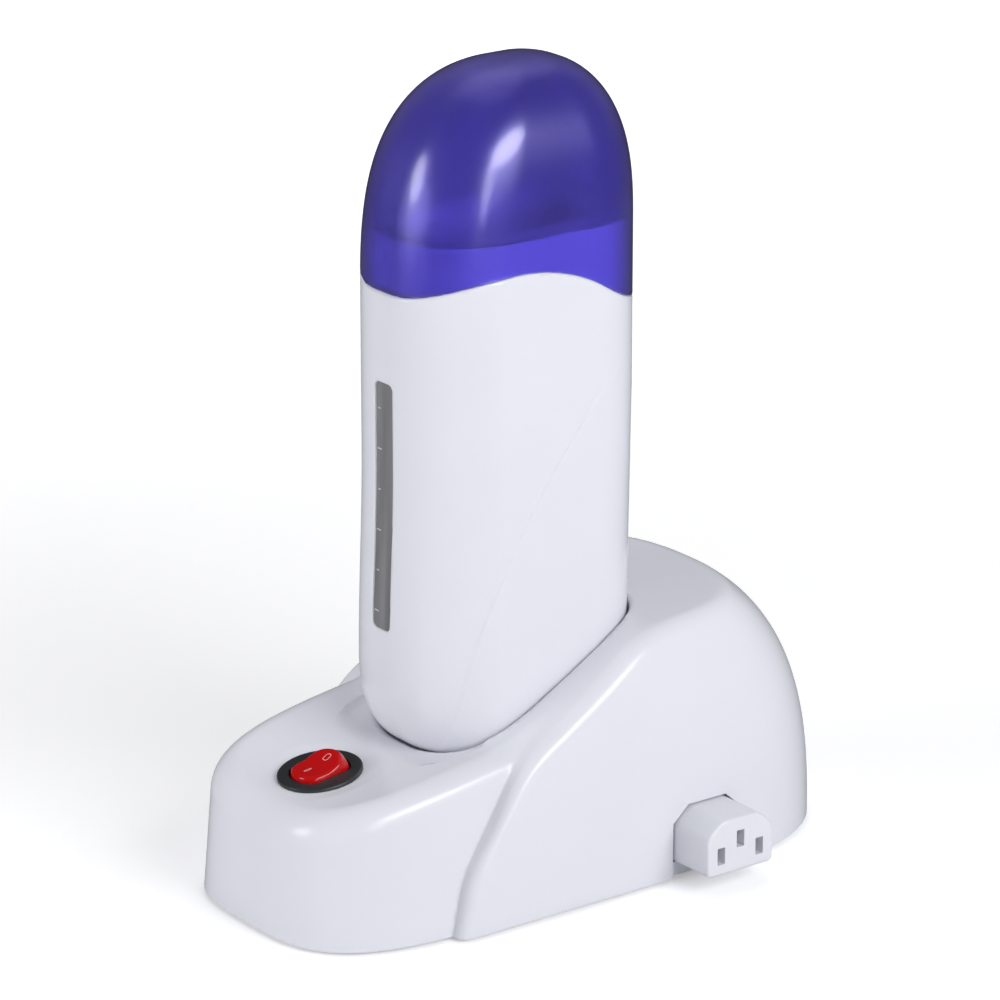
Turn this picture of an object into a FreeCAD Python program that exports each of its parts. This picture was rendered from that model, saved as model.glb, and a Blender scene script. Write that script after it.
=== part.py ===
"""Roll-on wax heater with its charging base, as a parametric FreeCAD document.

Frame: millimetres, +Z up, the floor at Z = 0.  The handset, the cap and the base are alike on both sides
of X = 0.  The switch end of the base points to -Y, the chain outlet to +X and the mains inlet to -X.
"""
import FreeCAD, Part
import math
import os
import Sketcher
from FreeCAD import Placement, Rotation, Vector

doc = FreeCAD.newDocument("roll_on_wax_heater")

# --------------------------------------------------------------------------------------------------
# Driving sizes
# --------------------------------------------------------------------------------------------------
SIZES = {
    "foot_stand": 1.0,  # height of the shell's lower edge above the floor
    "shell_wall": 2.5,  # wall of the base's upper shell
    "part_gap": 0.3,  # gap between two moulded pieces that meet
    # base, rear hump: a dome over a long outline, straight at the sides and rounded at the rear
    "hump_half_width": 47.8,
    "hump_side_rise": 12.4,  # the side walls' curve would close so far above the ridge
    "hump_rear_start": 35.6,
    "hump_rear_length": 58.0,
    "hump_rear_rise": 7.4,  # the rear wall's curve would close so far above the ridge
    "hump_top_rise": 4.9,  # the dome is drawn so far above the ridge, and the side view cuts it
    "hump_rear_power": 2.4,
    "hump_plan_power": 2.4,
    "hump_edge_radius": 5.0,
    # side profile of the hump, from the floor over the cradle's shoulder to the ridge
    "profile_foot_y": -56.0,
    "profile_knee_y": -51.5,
    "profile_knee_z": 18.0,
    "profile_shoulder_y": -31.5,
    "profile_shoulder_z": 48.0,
    "profile_top_y": 14.5,
    "profile_top_z": 75.0,
    "profile_ridge_y": 62.0,
    "profile_ridge_z": 79.6,
    "profile_knee_radius": 30.0,
    "profile_shoulder_radius": 40.0,
    "profile_top_radius": 40.0,
    # base, nose with the switch deck
    "nose_half_width": 43.8,
    "nose_start": -29.5,
    "nose_length": 67.5,
    "nose_power": 3.5,
    "nose_overlap": 30.0,  # how far the nose's solid runs back into the hump
    "nose_draft": 4.0,
    "nose_edge_radius": 8.0,
    "deck_height": 40.3,
    "deck_slope": 8.7,
    "deck_dish_radius": 165.0,  # the deck is hollow from side to side
    "deck_seat_gap": 0.2,
    # rocker switch on the deck
    "switch_y": -70.8,
    "bezel_radius": 12.4,
    "bezel_thick": 1.1,
    "bezel_round": 0.5,
    "switch_barrel_radius": 9.9,
    "switch_depth": 15.0,
    "switch_floor": 3.5,
    "switch_hole_gap": 0.2,
    "rocker_ball_radius": 8.6,
    "rocker_half_width": 6.4,
    "rocker_facet_angle": 13.0,
    "rocker_throw": 20.0,
    "rocker_waist": 3.7,
    "rocker_keel": 4.5,
    "rocker_axis_drop": 1.0,
    "rocker_pin_radius": 1.2,
    "rocker_pin_reach": 1.4,
    "rocker_gap": 0.35,
    "blade_width": 4.8,
    "blade_thick": 0.8,
    "blade_length": 8.0,
    "blade_pitch": 5.0,
    "blade_eye_radius": 0.8,
    # handset
    "handset_half_width": 27.7,
    "handset_half_depth": 39.45,
    "handset_centre_y": -8.35,
    "handset_corner_share": 0.88,
    "handset_floor_z": 42.0,
    "handset_bulge": 1.8,
    "handset_bulge_top_z": 128.0,
    "handset_bottom_rise": 24.7,
    "handset_front_round": 11.4,
    "handset_rear_round": 6.0,
    "handset_side_round": 4.6,
    "handset_rear_taper": 1.0,
    "handset_taper_top_z": 143.0,
    "handset_wall": 2.2,
    # cap and the wavy joint under it
    "cap_apex_z": 239.6,
    "cap_apex_y": -0.4,
    "cap_front_start_z": 176.1,
    "cap_rear_start_z": 191.3,
    "cap_side_start_z": 200.0,
    "cap_power": 2.49,
    "cap_wall": 1.8,
    "wave_front_y": -72.4,
    "wave_front_z": 172.5,
    "wave_crest_y": -20.3,
    "wave_crest_z": 184.8,
    "wave_rear_y": 39.9,
    "wave_rear_z": 167.3,
    # collar and cartridge chamber
    "collar_inset": 2.35,
    "collar_wall": 1.8,
    "collar_rim_z": 194.0,
    "collar_depth": 34.0,
    "collar_flange": 2.0,
    "mouth_half_width": 17.0,
    "mouth_half_depth": 27.0,
    "mouth_corner": 8.0,
    "chamber_half_width": 18.0,
    "chamber_half_depth": 28.0,
    "chamber_corner": 9.0,
    "chamber_wall": 1.5,
    "chamber_floor_z": 51.0,
    "chamber_floor_thick": 2.0,
    # heating parts
    "plate_thick": 1.4,
    "plate_half_depth": 18.5,
    "plate_corner": 2.0,
    "plate_bottom_z": 62.0,
    "plate_top_z": 172.0,
    "heater_thick": 3.4,
    "heater_half_depth": 10.0,
    "heater_bottom_z": 92.0,
    "heater_top_z": 132.0,
    "heater_gap": 0.5,
    "fuse_radius": 1.7,
    "fuse_length": 11.0,
    "fuse_offset": 14.5,
    # level window
    "window_half_width": 4.2,
    "window_bottom_z": 79.0,
    "window_top_z": 152.0,
    "window_corner": 2.0,
    "window_recess": 0.4,
    "window_gap": 0.1,
    "lens_flange": 2.4,
    "lens_thick": 1.2,
    # bottom plate of the handset and the sprung contacts under it
    "plate_centre_y": -7.4,
    "door_half_width": 14.0,
    "door_half_depth": 20.5,
    "door_corner": 8.0,
    "door_thick": 2.4,
    "door_gap": 0.15,
    "door_screw_y": 16.8,
    "door_screw_radius": 1.2,
    "door_screw_head_radius": 2.2,
    "door_screw_head_height": 1.1,
    "door_screw_recess": 1.3,
    "door_drive_length": 2.4,
    "door_drive_width": 0.6,
    "door_drive_depth": 0.7,
    "post_radius": 3.2,
    "contact_half_pitch": 8.0,
    "pad_radius": 3.4,
    "pad_thick": 0.8,
    "pad_window_radius": 3.0,
    "pad_recess": 1.2,
    "plunger_radius": 1.6,
    "plunger_head_radius": 2.4,
    "plunger_head_height": 1.6,
    "plunger_round": 1.0,
    "plunger_fit": 0.06,
    "carrier_half_width": 15.0,
    "carrier_half_depth": 7.0,
    "carrier_corner": 2.0,
    "carrier_height": 16.0,
    "carrier_floor": 1.8,
    "spring_wire": 0.6,
    "spring_turns": 5.0,
    # cradle that holds the handset
    "cradle_gap": 0.8,
    "cradle_floor_gap": 0.3,
    "cradle_wall": 2.2,
    # chain outlet and mains inlet
    "socket_y": 32.0,
    "outlet_line_z": 11.9,
    "inlet_line_z": 14.6,
    "outlet_reach": 15.4,
    "outlet_half_width": 12.0,
    "outlet_below": 5.9,
    "outlet_above": 10.6,
    "outlet_chamfer_y": 5.2,
    "outlet_chamfer_z": 4.6,
    "outlet_edge_round": 1.0,
    "socket_pitch": 14.0,
    "earth_rise": 4.0,
    "slot_width": 2.8,
    "slot_height": 5.2,
    "slot_depth": 17.0,
    "zero_margin": 0.0,
    "outlet_back": 8.0,
    "strip_thick": 1.6,
    "strip_height": 4.0,
    "strip_entry": 10.0,
    "tail_length": 6.0,
    "socket_notch_gap": 0.4,
    "flange_margin": 2.2,
    "flange_thick": 2.4,
    "flange_gap": 1.15,  # the wall curves in behind the flanges, so they stand back from its straight part
    "tab_recess": 0.8,
    "inlet_cavity_gap": 0.4,
    "inlet_wall": 1.8,
    "inlet_depth": 16.0,
    "inlet_face_recess": 0.6,
    "inlet_back": 3.0,
    "inlet_pin_thick": 2.0,
    "inlet_pin_height": 4.0,
    "inlet_pin_length": 13.0,
    # bottom cover, feet and screws
    "cover_thick": 2.4,
    "cover_recess": 0.6,
    "cover_gap": 0.3,
    "foot_radius": 5.5,
    "foot_seat": 1.0,
    "foot_chamfer": 0.6,
    "screw_collar_height": 2.4,
    "collar_wall_thick": 1.6,
    "collar_floor": 1.6,
    "screw_head_radius": 2.8,
    "screw_head_height": 1.8,
    "screw_drive_length": 3.2,
    "screw_drive_width": 0.8,
    "screw_drive_depth": 1.0,
    "screw_radius": 1.45,
    "screw_length": 9.0,
    "boss_radius": 3.6,
    "boss_bore": 1.5,
    "screw_gap": 0.15,
    "pin_gap": 0.06,
    "seat_gap": 0.05,
    "front_screw_x": 27.0,
    "front_screw_y": -76.0,
    "rear_screw_x": 33.0,
    "rear_screw_y": 62.0,
    "front_foot_x": 24.0,
    "front_foot_y": -64.0,
    "rear_foot_x": 34.0,
    "rear_foot_y": 48.0,
}

sheet = doc.addObject("Spreadsheet::Sheet", "Sizes")
for row, (alias, number) in enumerate(SIZES.items(), start=1):
    sheet.set(f"A{row}", alias)
    sheet.set(f"B{row}", str(number))
    sheet.setAlias(f"B{row}", alias)
doc.recompute()


class Size:
    """A length with the expression that gives it, so that a sketch can be drawn at scale and then bound."""

    def __init__(self, number, text):
        self.number = float(number)
        self.text = text

    def joined(self, sign, other, number, swap=False):
        right = other.text if isinstance(other, Size) else repr(float(other))
        left, right = (right, self.text) if swap else (self.text, right)
        return Size(number, f"({left} {sign} {right})")

    def __add__(self, other):
        return self.joined("+", other, self.number + float(other))

    def __radd__(self, other):
        return self.joined("+", other, float(other) + self.number, swap=True)

    def __sub__(self, other):
        return self.joined("-", other, self.number - float(other))

    def __rsub__(self, other):
        return self.joined("-", other, float(other) - self.number, swap=True)

    def __mul__(self, other):
        return self.joined("*", other, self.number * float(other))

    def __rmul__(self, other):
        return self.joined("*", other, float(other) * self.number, swap=True)

    def __truediv__(self, other):
        return self.joined("/", other, self.number / float(other))

    def __neg__(self):
        return Size(-self.number, f"(-1 * {self.text})")

    def __float__(self):
        return self.number


def size(alias):
    """The sheet's value under an alias, with its expression."""
    return Size(float(sheet.get(alias)), f"Sizes.{alias}")


def mm(alias):
    """The sheet's value under an alias as a plain number."""
    return float(sheet.get(alias))


# --------------------------------------------------------------------------------------------------
# Helpers that draw sketches and add features
# --------------------------------------------------------------------------------------------------
nodes = []


def new_body(label):
    """A PartDesign body whose finished shape is exported under its label."""
    body = doc.addObject("PartDesign::Body", label)
    body.Label = label
    nodes.append(body)
    return body


def new_feature(label, shape):
    """A Part::Feature that is exported under its label."""
    feature = doc.addObject("Part::Feature", label)
    feature.Label = label
    feature.Shape = shape
    nodes.append(feature)
    return feature


def sketch_on(body, role, name, height=None):
    """A sketch on one of the body's own planes (XY_Plane, XZ_Plane or YZ_Plane), moved along its normal."""
    plane = [item for item in body.Origin.OriginFeatures if item.Role == role][0]
    sketch = body.newObject("Sketcher::SketchObject", name)
    sketch.AttachmentSupport = [(plane, "")]
    sketch.MapMode = "FlatFace"
    if height is not None:
        text = height.text if isinstance(height, Size) else repr(height)
        sketch.setExpression("AttachmentOffset.Base.z", text)
    return sketch


def bind(sketch, constraint, length):
    """Adds a dimension to a sketch and binds it to the sheet."""
    index = sketch.addConstraint(constraint)
    if isinstance(length, Size):
        name = f"size_{index}"
        sketch.renameConstraint(index, name)
        sketch.setExpression(f"Constraints.{name}", length.text)
    return index


def pin_point(sketch, element, vertex, across, along):
    """Holds one point of a sketch at its two coordinates."""
    bind(sketch, Sketcher.Constraint("DistanceX", -1, 1, element, vertex, float(across)), across)
    bind(sketch, Sketcher.Constraint("DistanceY", -1, 1, element, vertex, float(along)), along)


def draw_circle(sketch, across, along, radius):
    centre = Vector(float(across), float(along), 0)
    element = sketch.addGeometry(Part.Circle(centre, Vector(0, 0, 1), float(radius)))
    pin_point(sketch, element, 3, across, along)
    bind(sketch, Sketcher.Constraint("Radius", element, float(radius)), radius)


def draw_polygon(sketch, corners):
    """A closed outline of straight lines, each corner held at its coordinates."""
    count = len(corners)
    points = [Vector(float(across), float(along), 0) for across, along in corners]
    first = None
    for index in range(count):
        element = sketch.addGeometry(Part.LineSegment(points[index], points[(index + 1) % count]))
        first = element if first is None else first
    for index in range(count):
        sketch.addConstraint(
            Sketcher.Constraint("Coincident", first + index, 2, first + (index + 1) % count, 1)
        )
        pin_point(sketch, first + index, 1, *corners[index])


def draw_cross(sketch, across, along, half_length, half_width):
    """The outline of a cross drive."""
    long, thin = half_length, half_width
    steps = [(thin, thin), (thin, long), (-thin, long), (-thin, thin), (-long, thin), (-long, -thin)]
    steps += [(-thin, -thin), (-thin, -long), (thin, -long), (thin, -thin), (long, -thin), (long, thin)]
    draw_polygon(sketch, [(across + x, along + y) for x, y in steps])


def draw_flat_sided_circle(sketch, radius, half_width):
    """A circle about the origin with its left and right sides cut straight."""
    r, w = float(radius), float(half_width)
    turn = math.acos(w / r)
    h = r * math.sin(turn)
    circle = Part.Circle(Vector(0, 0, 0), Vector(0, 0, 1), r)
    top = sketch.addGeometry(Part.ArcOfCircle(circle, turn, math.pi - turn))
    low = sketch.addGeometry(Part.ArcOfCircle(circle, math.pi + turn, 2 * math.pi - turn))
    right = sketch.addGeometry(Part.LineSegment(Vector(w, -h, 0), Vector(w, h, 0)))
    left = sketch.addGeometry(Part.LineSegment(Vector(-w, h, 0), Vector(-w, -h, 0)))
    for arc in (top, low):
        sketch.addConstraint(Sketcher.Constraint("Coincident", arc, 3, -1, 1))
    for first, second in ((right, top), (top, left), (left, low), (low, right)):
        sketch.addConstraint(Sketcher.Constraint("Coincident", first, 2, second, 1))
    for line in (right, left):
        sketch.addConstraint(Sketcher.Constraint("Vertical", line))
    sketch.addConstraint(Sketcher.Constraint("Equal", top, low))
    bind(sketch, Sketcher.Constraint("Radius", top, r), radius)
    bind(sketch, Sketcher.Constraint("DistanceX", -1, 1, right, 1, w), half_width)
    bind(sketch, Sketcher.Constraint("DistanceX", -1, 1, left, 1, -w), -half_width)


def draw_rectangle(sketch, left, right, bottom, top):
    draw_polygon(sketch, [(left, bottom), (right, bottom), (right, top), (left, top)])


def draw_rounded_rectangle(sketch, left, right, bottom, top, radius):
    """Four lines and four equal tangent arcs."""
    x0, x1, y0, y1, r = (float(item) for item in (left, right, bottom, top, radius))
    centres = [(x1 - r, y0 + r), (x1 - r, y1 - r), (x0 + r, y1 - r), (x0 + r, y0 + r)]
    ends = [
        (Vector(x0 + r, y0, 0), Vector(x1 - r, y0, 0)),
        (Vector(x1, y0 + r, 0), Vector(x1, y1 - r, 0)),
        (Vector(x1 - r, y1, 0), Vector(x0 + r, y1, 0)),
        (Vector(x0, y1 - r, 0), Vector(x0, y0 + r, 0)),
    ]
    lines = [sketch.addGeometry(Part.LineSegment(*pair)) for pair in ends]
    arcs = []
    for quarter, (cx, cy) in enumerate(centres):
        circle = Part.Circle(Vector(cx, cy, 0), Vector(0, 0, 1), r)
        start = math.pi / 2 * (quarter - 1)
        arcs.append(sketch.addGeometry(Part.ArcOfCircle(circle, start, start + math.pi / 2)))
    for quarter in range(4):
        sketch.addConstraint(Sketcher.Constraint("Tangent", lines[quarter], 2, arcs[quarter], 1))
        sketch.addConstraint(Sketcher.Constraint("Tangent", arcs[quarter], 2, lines[(quarter + 1) % 4], 1))
    for quarter in range(3):
        sketch.addConstraint(Sketcher.Constraint("Equal", arcs[quarter], arcs[quarter + 1]))
    sketch.addConstraint(Sketcher.Constraint("Horizontal", lines[0]))
    sketch.addConstraint(Sketcher.Constraint("Vertical", lines[1]))
    bind(sketch, Sketcher.Constraint("Radius", arcs[0], r), radius)
    bind(sketch, Sketcher.Constraint("DistanceY", -1, 1, lines[0], 1, y0), bottom)
    bind(sketch, Sketcher.Constraint("DistanceX", -1, 1, lines[1], 1, x1), right)
    bind(sketch, Sketcher.Constraint("DistanceY", -1, 1, lines[2], 1, y1), top)
    bind(sketch, Sketcher.Constraint("DistanceX", -1, 1, lines[3], 1, x0), left)


def add_pad(body, sketch, length, name="pad", both_ways=False, backwards=False):
    pad = body.newObject("PartDesign::Pad", name)
    pad.Profile = sketch
    pad.Midplane = both_ways
    pad.Reversed = backwards
    pad.Length = float(length)
    if isinstance(length, Size):
        pad.setExpression("Length", length.text)
    doc.recompute()
    return pad


def add_pocket(body, sketch, length, name="pocket", both_ways=False, backwards=False):
    """A cut that must take material away."""
    before = body.Shape.Volume
    pocket = body.newObject("PartDesign::Pocket", name)
    pocket.Profile = sketch
    pocket.Midplane = both_ways
    pocket.Reversed = backwards
    pocket.Length = float(length)
    if isinstance(length, Size):
        pocket.setExpression("Length", length.text)
    doc.recompute()
    if not body.Shape.Volume < before:
        raise RuntimeError(f"{body.Label}: {name} takes nothing away")
    return pocket


def runs_along_x(edge):
    """True for a straight edge parallel to the X axis."""
    return abs(edge.tangentAt(edge.FirstParameter).x) > 0.999


def dress(body, kind, setting, length, wanted, name):
    """Rounds or bevels the edges of the body's last feature that a test picks."""
    base = body.Tip
    picked = [f"Edge{number}" for number, edge in enumerate(base.Shape.Edges, start=1) if wanted(edge)]
    if not picked:
        raise RuntimeError(f"{body.Label}: {name} finds no edge")
    feature = body.newObject(f"PartDesign::{kind}", name)
    feature.Base = (base, picked)
    setattr(feature, setting, float(length))
    feature.setExpression(setting, length.text)
    doc.recompute()
    return feature


def add_fillet(body, radius, wanted, name):
    return dress(body, "Fillet", "Radius", radius, wanted, name)


def add_chamfer(body, width, wanted, name):
    return dress(body, "Chamfer", "Size", width, wanted, name)


def base_on_form(body, shape):
    """Starts a body from a free-form solid, which later features cut and add to."""
    form = doc.addObject("Part::Feature", f"{body.Label}_form")
    form.Shape = shape
    body.BaseFeature = form
    doc.recompute()


def place(body, x=0.0, y=0.0, z=0.0, axis=Vector(0, 0, 1), angle=0.0):
    """Puts a finished body in the assembly, with its position bound to the sheet."""
    body.Placement = Placement(Vector(float(x), float(y), float(z)), Rotation(axis, float(angle)))
    for name, length in (("x", x), ("y", y), ("z", z)):
        if isinstance(length, Size):
            body.setExpression(f".Placement.Base.{name}", length.text)
    doc.recompute()


FAR = 200.0  # longer than anything here


def box(x0, x1, y0, y1, z0, z1):
    return Part.makeBox(x1 - x0, y1 - y0, z1 - z0, Vector(x0, y0, z0))


def cylinder(x, y, z0, z1, radius):
    return Part.makeCylinder(radius, z1 - z0, Vector(x, y, z0))


def slot_prism(half_width, z_low, z_high, corner):
    """A rounded rectangle in the XZ plane, run along the whole depth."""
    prism = box(-half_width, half_width, -FAR, FAR, z_low, z_high)
    along_y = [edge for edge in prism.Edges if abs(edge.tangentAt(edge.FirstParameter).y) > 0.999]
    return prism.makeFillet(corner, along_y)


def one_solid(shape):
    """The single solid that a boolean leaves, with split faces joined."""
    shape = shape.removeSplitter()
    if len(shape.Solids) != 1:
        raise RuntimeError(f"expected one solid, got {len(shape.Solids)}")
    return shape.Solids[0]


# --------------------------------------------------------------------------------------------------
# Form of the handset and cap: rounded rectangles stacked along Z
# --------------------------------------------------------------------------------------------------
def quarter_round(share):
    """0 at the start of a rounding and 1 at its end, along a quarter circle."""
    return 1 - math.sqrt(max(0.0, 1 - share * share))


def dome_share(z, start_z, apex_z, power):
    """How much of a radius is left at a height of a dome, from 1 at its start to 0 at the apex."""
    rise = min(max((z - start_z) / (apex_z - start_z), 0.0), 1.0)
    return (1 - rise**power) ** (1 / power)


def handset_section(z, inset=0.0):
    """Half width, front Y, rear Y and corner radius of the handset and cap at a height."""
    centre = mm("handset_centre_y")
    half_width = mm("handset_half_width")
    front = centre - mm("handset_half_depth")
    rear = centre + mm("handset_half_depth")
    floor = mm("handset_floor_z")
    rise = mm("handset_bottom_rise")
    bend = min(max((mm("handset_bulge_top_z") - z) / (mm("handset_bulge_top_z") - floor - rise), 0.0), 1.0)
    front -= mm("handset_bulge") * bend * bend * (3 - 2 * bend)
    rear -= max(mm("handset_taper_top_z") - z, 0.0) * math.tan(math.radians(mm("handset_rear_taper")))
    if z < floor + rise:
        pull = quarter_round(min((floor + rise - z) / rise, 1.0))
        half_width -= pull * mm("handset_side_round")
        front += pull * mm("handset_front_round")
        rear -= pull * mm("handset_rear_round")
    apex_z = mm("cap_apex_z") - inset
    apex_y = mm("cap_apex_y")
    power = mm("cap_power")
    half_width -= inset
    front += inset
    rear -= inset
    half_width *= dome_share(z, mm("cap_side_start_z"), apex_z, power)
    front = apex_y - (apex_y - front) * dome_share(z, mm("cap_front_start_z"), apex_z, power)
    rear = apex_y + (rear - apex_y) * dome_share(z, mm("cap_rear_start_z"), apex_z, power)
    corner = (half_width + inset) * mm("handset_corner_share") - inset
    return half_width, front, rear, max(corner, 0.3 * half_width)


def rounded_wire(half_width, front, rear, corner, z):
    """A rounded rectangle at a height, from its front line round to the left."""
    x, r = half_width, corner
    k = r * math.sqrt(0.5)
    across, back, fore = x - r, rear - r, front + r
    edges = [
        Part.LineSegment(Vector(-across, front, z), Vector(across, front, z)).toShape(),
        Part.Arc(Vector(across, front, z), Vector(across + k, fore - k, z), Vector(x, fore, z)).toShape(),
        Part.LineSegment(Vector(x, fore, z), Vector(x, back, z)).toShape(),
        Part.Arc(Vector(x, back, z), Vector(across + k, back + k, z), Vector(across, rear, z)).toShape(),
        Part.LineSegment(Vector(across, rear, z), Vector(-across, rear, z)).toShape(),
        Part.Arc(Vector(-across, rear, z), Vector(-across - k, back + k, z), Vector(-x, back, z)).toShape(),
        Part.LineSegment(Vector(-x, back, z), Vector(-x, fore, z)).toShape(),
        Part.Arc(Vector(-x, fore, z), Vector(-across - k, fore - k, z), Vector(-across, front, z)).toShape(),
    ]
    return Part.Wire(edges)


BOTTOM_STEPS = 5
DOME_STEPS = 7


def handset_heights(z_low, z_high, inset=0.0):
    """Heights of the sections that describe the handset between two levels."""
    floor = mm("handset_floor_z")
    rise = mm("handset_bottom_rise")
    start = mm("cap_front_start_z")
    apex = mm("cap_apex_z") - inset
    quarter = math.pi / 2 / BOTTOM_STEPS
    heights = [floor + rise * (1 - math.cos(quarter * step)) for step in range(BOTTOM_STEPS)]
    heights += [floor + rise]
    bulge = mm("handset_bulge_top_z") - floor - rise
    heights += [floor + rise + bulge * share for share in (0.35, 0.7, 1.0)]
    heights += [0.5 * (mm("handset_bulge_top_z") + start)]
    heights += [
        start + (apex - start) * math.sin(math.pi / 2 * 0.95 * step / DOME_STEPS) ** (2 / mm("cap_power"))
        for step in range(DOME_STEPS + 1)
    ]
    inner = [z for z in heights if z_low + 1.5 < z < z_high - 1.5]
    return [z_low] + inner + ([z_high] if z_high < apex - 0.5 else [max(heights)])


def handset_loft(z_low, z_high, inset=0.0, drop=0.0):
    """A solid with the handset's outline, drawn in by an inset, between two heights or up to the apex.

    The heights count on the handset, and the solid then lies lower by the drop.
    """
    heights = handset_heights(z_low, z_high, inset)
    sections = [rounded_wire(*handset_section(z, inset), z - drop) for z in heights]
    apex = mm("cap_apex_z") - inset
    if z_high >= apex:
        sections.append(Part.Vertex(Vector(0, mm("cap_apex_y"), apex - drop)))
    return Part.makeLoft(sections, True, False)


def s_curve(y0, z0, y1, z1):
    """Two tangent arcs that leave and arrive level, in the plane X = 0."""
    span, rise = y1 - y0, z1 - z0
    radius = (span * span + rise * rise) / (4 * abs(rise))
    turn = math.asin(0.5 * abs(span) / radius)
    half_span, half_rise = radius * math.sin(turn / 2), radius * (1 - math.cos(turn / 2))
    up = 1 if rise > 0 else -1
    middle = Vector(0, 0.5 * (y0 + y1), 0.5 * (z0 + z1))
    first = Part.Arc(Vector(0, y0, z0), Vector(0, y0 + half_span, z0 + up * half_rise), middle)
    second = Part.Arc(middle, Vector(0, y1 - half_span, z1 - up * half_rise), Vector(0, y1, z1))
    return [first.toShape(), second.toShape()]


def wave_cutter(lift):
    """Everything above the wavy joint, raised by a lift: a closed profile drawn across the whole width."""
    front_y, front_z = mm("wave_front_y"), mm("wave_front_z") + lift
    crest_y, crest_z = mm("wave_crest_y"), mm("wave_crest_z") + lift
    rear_y, rear_z = mm("wave_rear_y"), mm("wave_rear_z") + lift
    far = 2 * mm("handset_half_depth")
    top = mm("cap_apex_z") + 10
    edges = [Part.LineSegment(Vector(0, front_y - far, front_z), Vector(0, front_y, front_z)).toShape()]
    edges += s_curve(front_y, front_z, crest_y, crest_z)
    edges += s_curve(crest_y, crest_z, rear_y, rear_z)
    corners = [(rear_y, rear_z), (rear_y + far, rear_z), (rear_y + far, top)]
    corners += [(front_y - far, top), (front_y - far, front_z)]
    points = [Vector(0, y, z) for y, z in corners]
    edges += [Part.LineSegment(start, end).toShape() for start, end in zip(points, points[1:])]
    reach = 2 * mm("handset_half_width")
    profile = Part.Face(Part.Wire(edges))
    profile.translate(Vector(-reach, 0, 0))
    return profile.extrude(Vector(2 * reach, 0, 0))


# --------------------------------------------------------------------------------------------------
# Form of the base: a dome behind, a nose in front, and the profile that cuts the cradle's shoulders
# --------------------------------------------------------------------------------------------------
PLAN_POINTS = 9
SIDE_POINTS = 3


def long_outline(half_width, far_y, start_y, length, power, z):
    """A closed outline at a height: straight far end and sides, then rounded from start_y over a length.

    The sides and the rounding are one smooth curve, so that the edges along it can be rounded later.
    A negative length points the rounding towards -Y.
    """
    side_ys = [far_y + (start_y - far_y) * step / SIDE_POINTS for step in range(SIDE_POINTS)]
    points = [Vector(-half_width, y, z) for y in side_ys]
    for step in range(2 * PLAN_POINTS + 1):
        angle = math.pi * step / (2 * PLAN_POINTS)
        across = abs(math.cos(angle)) ** (2 / power)
        along = math.sin(angle) ** (2 / power)
        side = -1 if step < PLAN_POINTS else 1
        points.append(Vector(side * half_width * across, start_y + length * along, z))
    points += [Vector(half_width, y, z) for y in reversed(side_ys)]
    curve = Part.BSplineCurve()
    curve.interpolate(points)
    return Part.Wire([curve.toShape(), Part.LineSegment(points[-1], points[0]).toShape()])


SIDE_POWER = 4
SIDE_ROOT = 1 / 3
REAR_ROOT = 0.55


def hump_section(z, inset):
    """Outline of the hump at a height: straight front and sides, rounded rear."""
    height = z + inset
    side_share = height / (mm("profile_ridge_z") + mm("hump_side_rise"))
    rear_share = height / (mm("profile_ridge_z") + mm("hump_rear_rise"))
    half_width = mm("hump_half_width") * (1 - side_share**SIDE_POWER) ** SIDE_ROOT - inset
    length = mm("hump_rear_length") * (1 - rear_share ** mm("hump_rear_power")) ** REAR_ROOT - inset
    far_y = mm("profile_foot_y") - 10
    return long_outline(half_width, far_y, mm("hump_rear_start"), length, mm("hump_plan_power"), z)


def profile_corners(inset):
    """Corners of the hump's side view from floor to behind the ridge, each run moved inwards by an inset."""
    foot = Vector(0, mm("profile_foot_y"), 0)
    knee = Vector(0, mm("profile_knee_y"), mm("profile_knee_z"))
    shoulder = Vector(0, mm("profile_shoulder_y"), mm("profile_shoulder_z"))
    top = Vector(0, mm("profile_top_y"), mm("profile_top_z"))
    ridge = Vector(0, mm("profile_ridge_y"), mm("profile_ridge_z"))
    corners = [foot + (foot - knee) * 0.5, knee, shoulder, top, top + (ridge - top) * 2]
    runs = [(end - start).normalize() for start, end in zip(corners, corners[1:])]
    inwards = [Vector(0, run.z, -run.y) for run in runs]
    moved = [corners[0] + inwards[0] * inset]
    for corner, before, after in zip(corners[1:-1], inwards, inwards[1:]):
        moved.append(corner + (before + after) * (inset / (1 + before.dot(after))))
    moved.append(corners[-1] + inwards[-1] * inset)
    return moved


def below_profile(inset):
    """Everything under the hump's side view, whose corners are rounded, across the whole width."""
    corners = profile_corners(inset)
    bends = [mm("profile_knee_radius"), mm("profile_shoulder_radius"), mm("profile_top_radius")]
    edges = []
    last = corners[0]
    for before, corner, after, radius in zip(corners, corners[1:], corners[2:], bends):
        to_before, to_after = (before - corner).normalize(), (after - corner).normalize()
        half_angle = to_before.getAngle(to_after) / 2
        bend = radius - inset
        reach = bend / math.tan(half_angle)
        start, end = corner + to_before * reach, corner + to_after * reach
        middle = corner + (to_before + to_after).normalize() * (bend / math.sin(half_angle) - bend)
        edges += [Part.LineSegment(last, start).toShape(), Part.Arc(start, middle, end).toShape()]
        last = end
    far_low = Vector(0, corners[-1].y, corners[0].z)
    for start, end in ((last, corners[-1]), (corners[-1], far_low), (far_low, corners[0])):
        edges.append(Part.LineSegment(start, end).toShape())
    face = Part.Face(Part.Wire(edges))
    face.translate(Vector(-FAR, 0, 0))
    return face.extrude(Vector(2 * FAR, 0, 0))


def hump_form(z_low, inset):
    """The rear hump: a dome whose front and top follow the side view."""
    top = mm("profile_ridge_z") + mm("hump_top_rise") - inset
    shares = (0.0, 0.22, 0.42, 0.6, 0.74, 0.86, 0.94, 1.0)
    heights = [z_low + (top - z_low) * share for share in shares]
    dome = Part.makeLoft([hump_section(z, inset) for z in heights], True, False)
    return dome.common(below_profile(inset))


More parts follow.
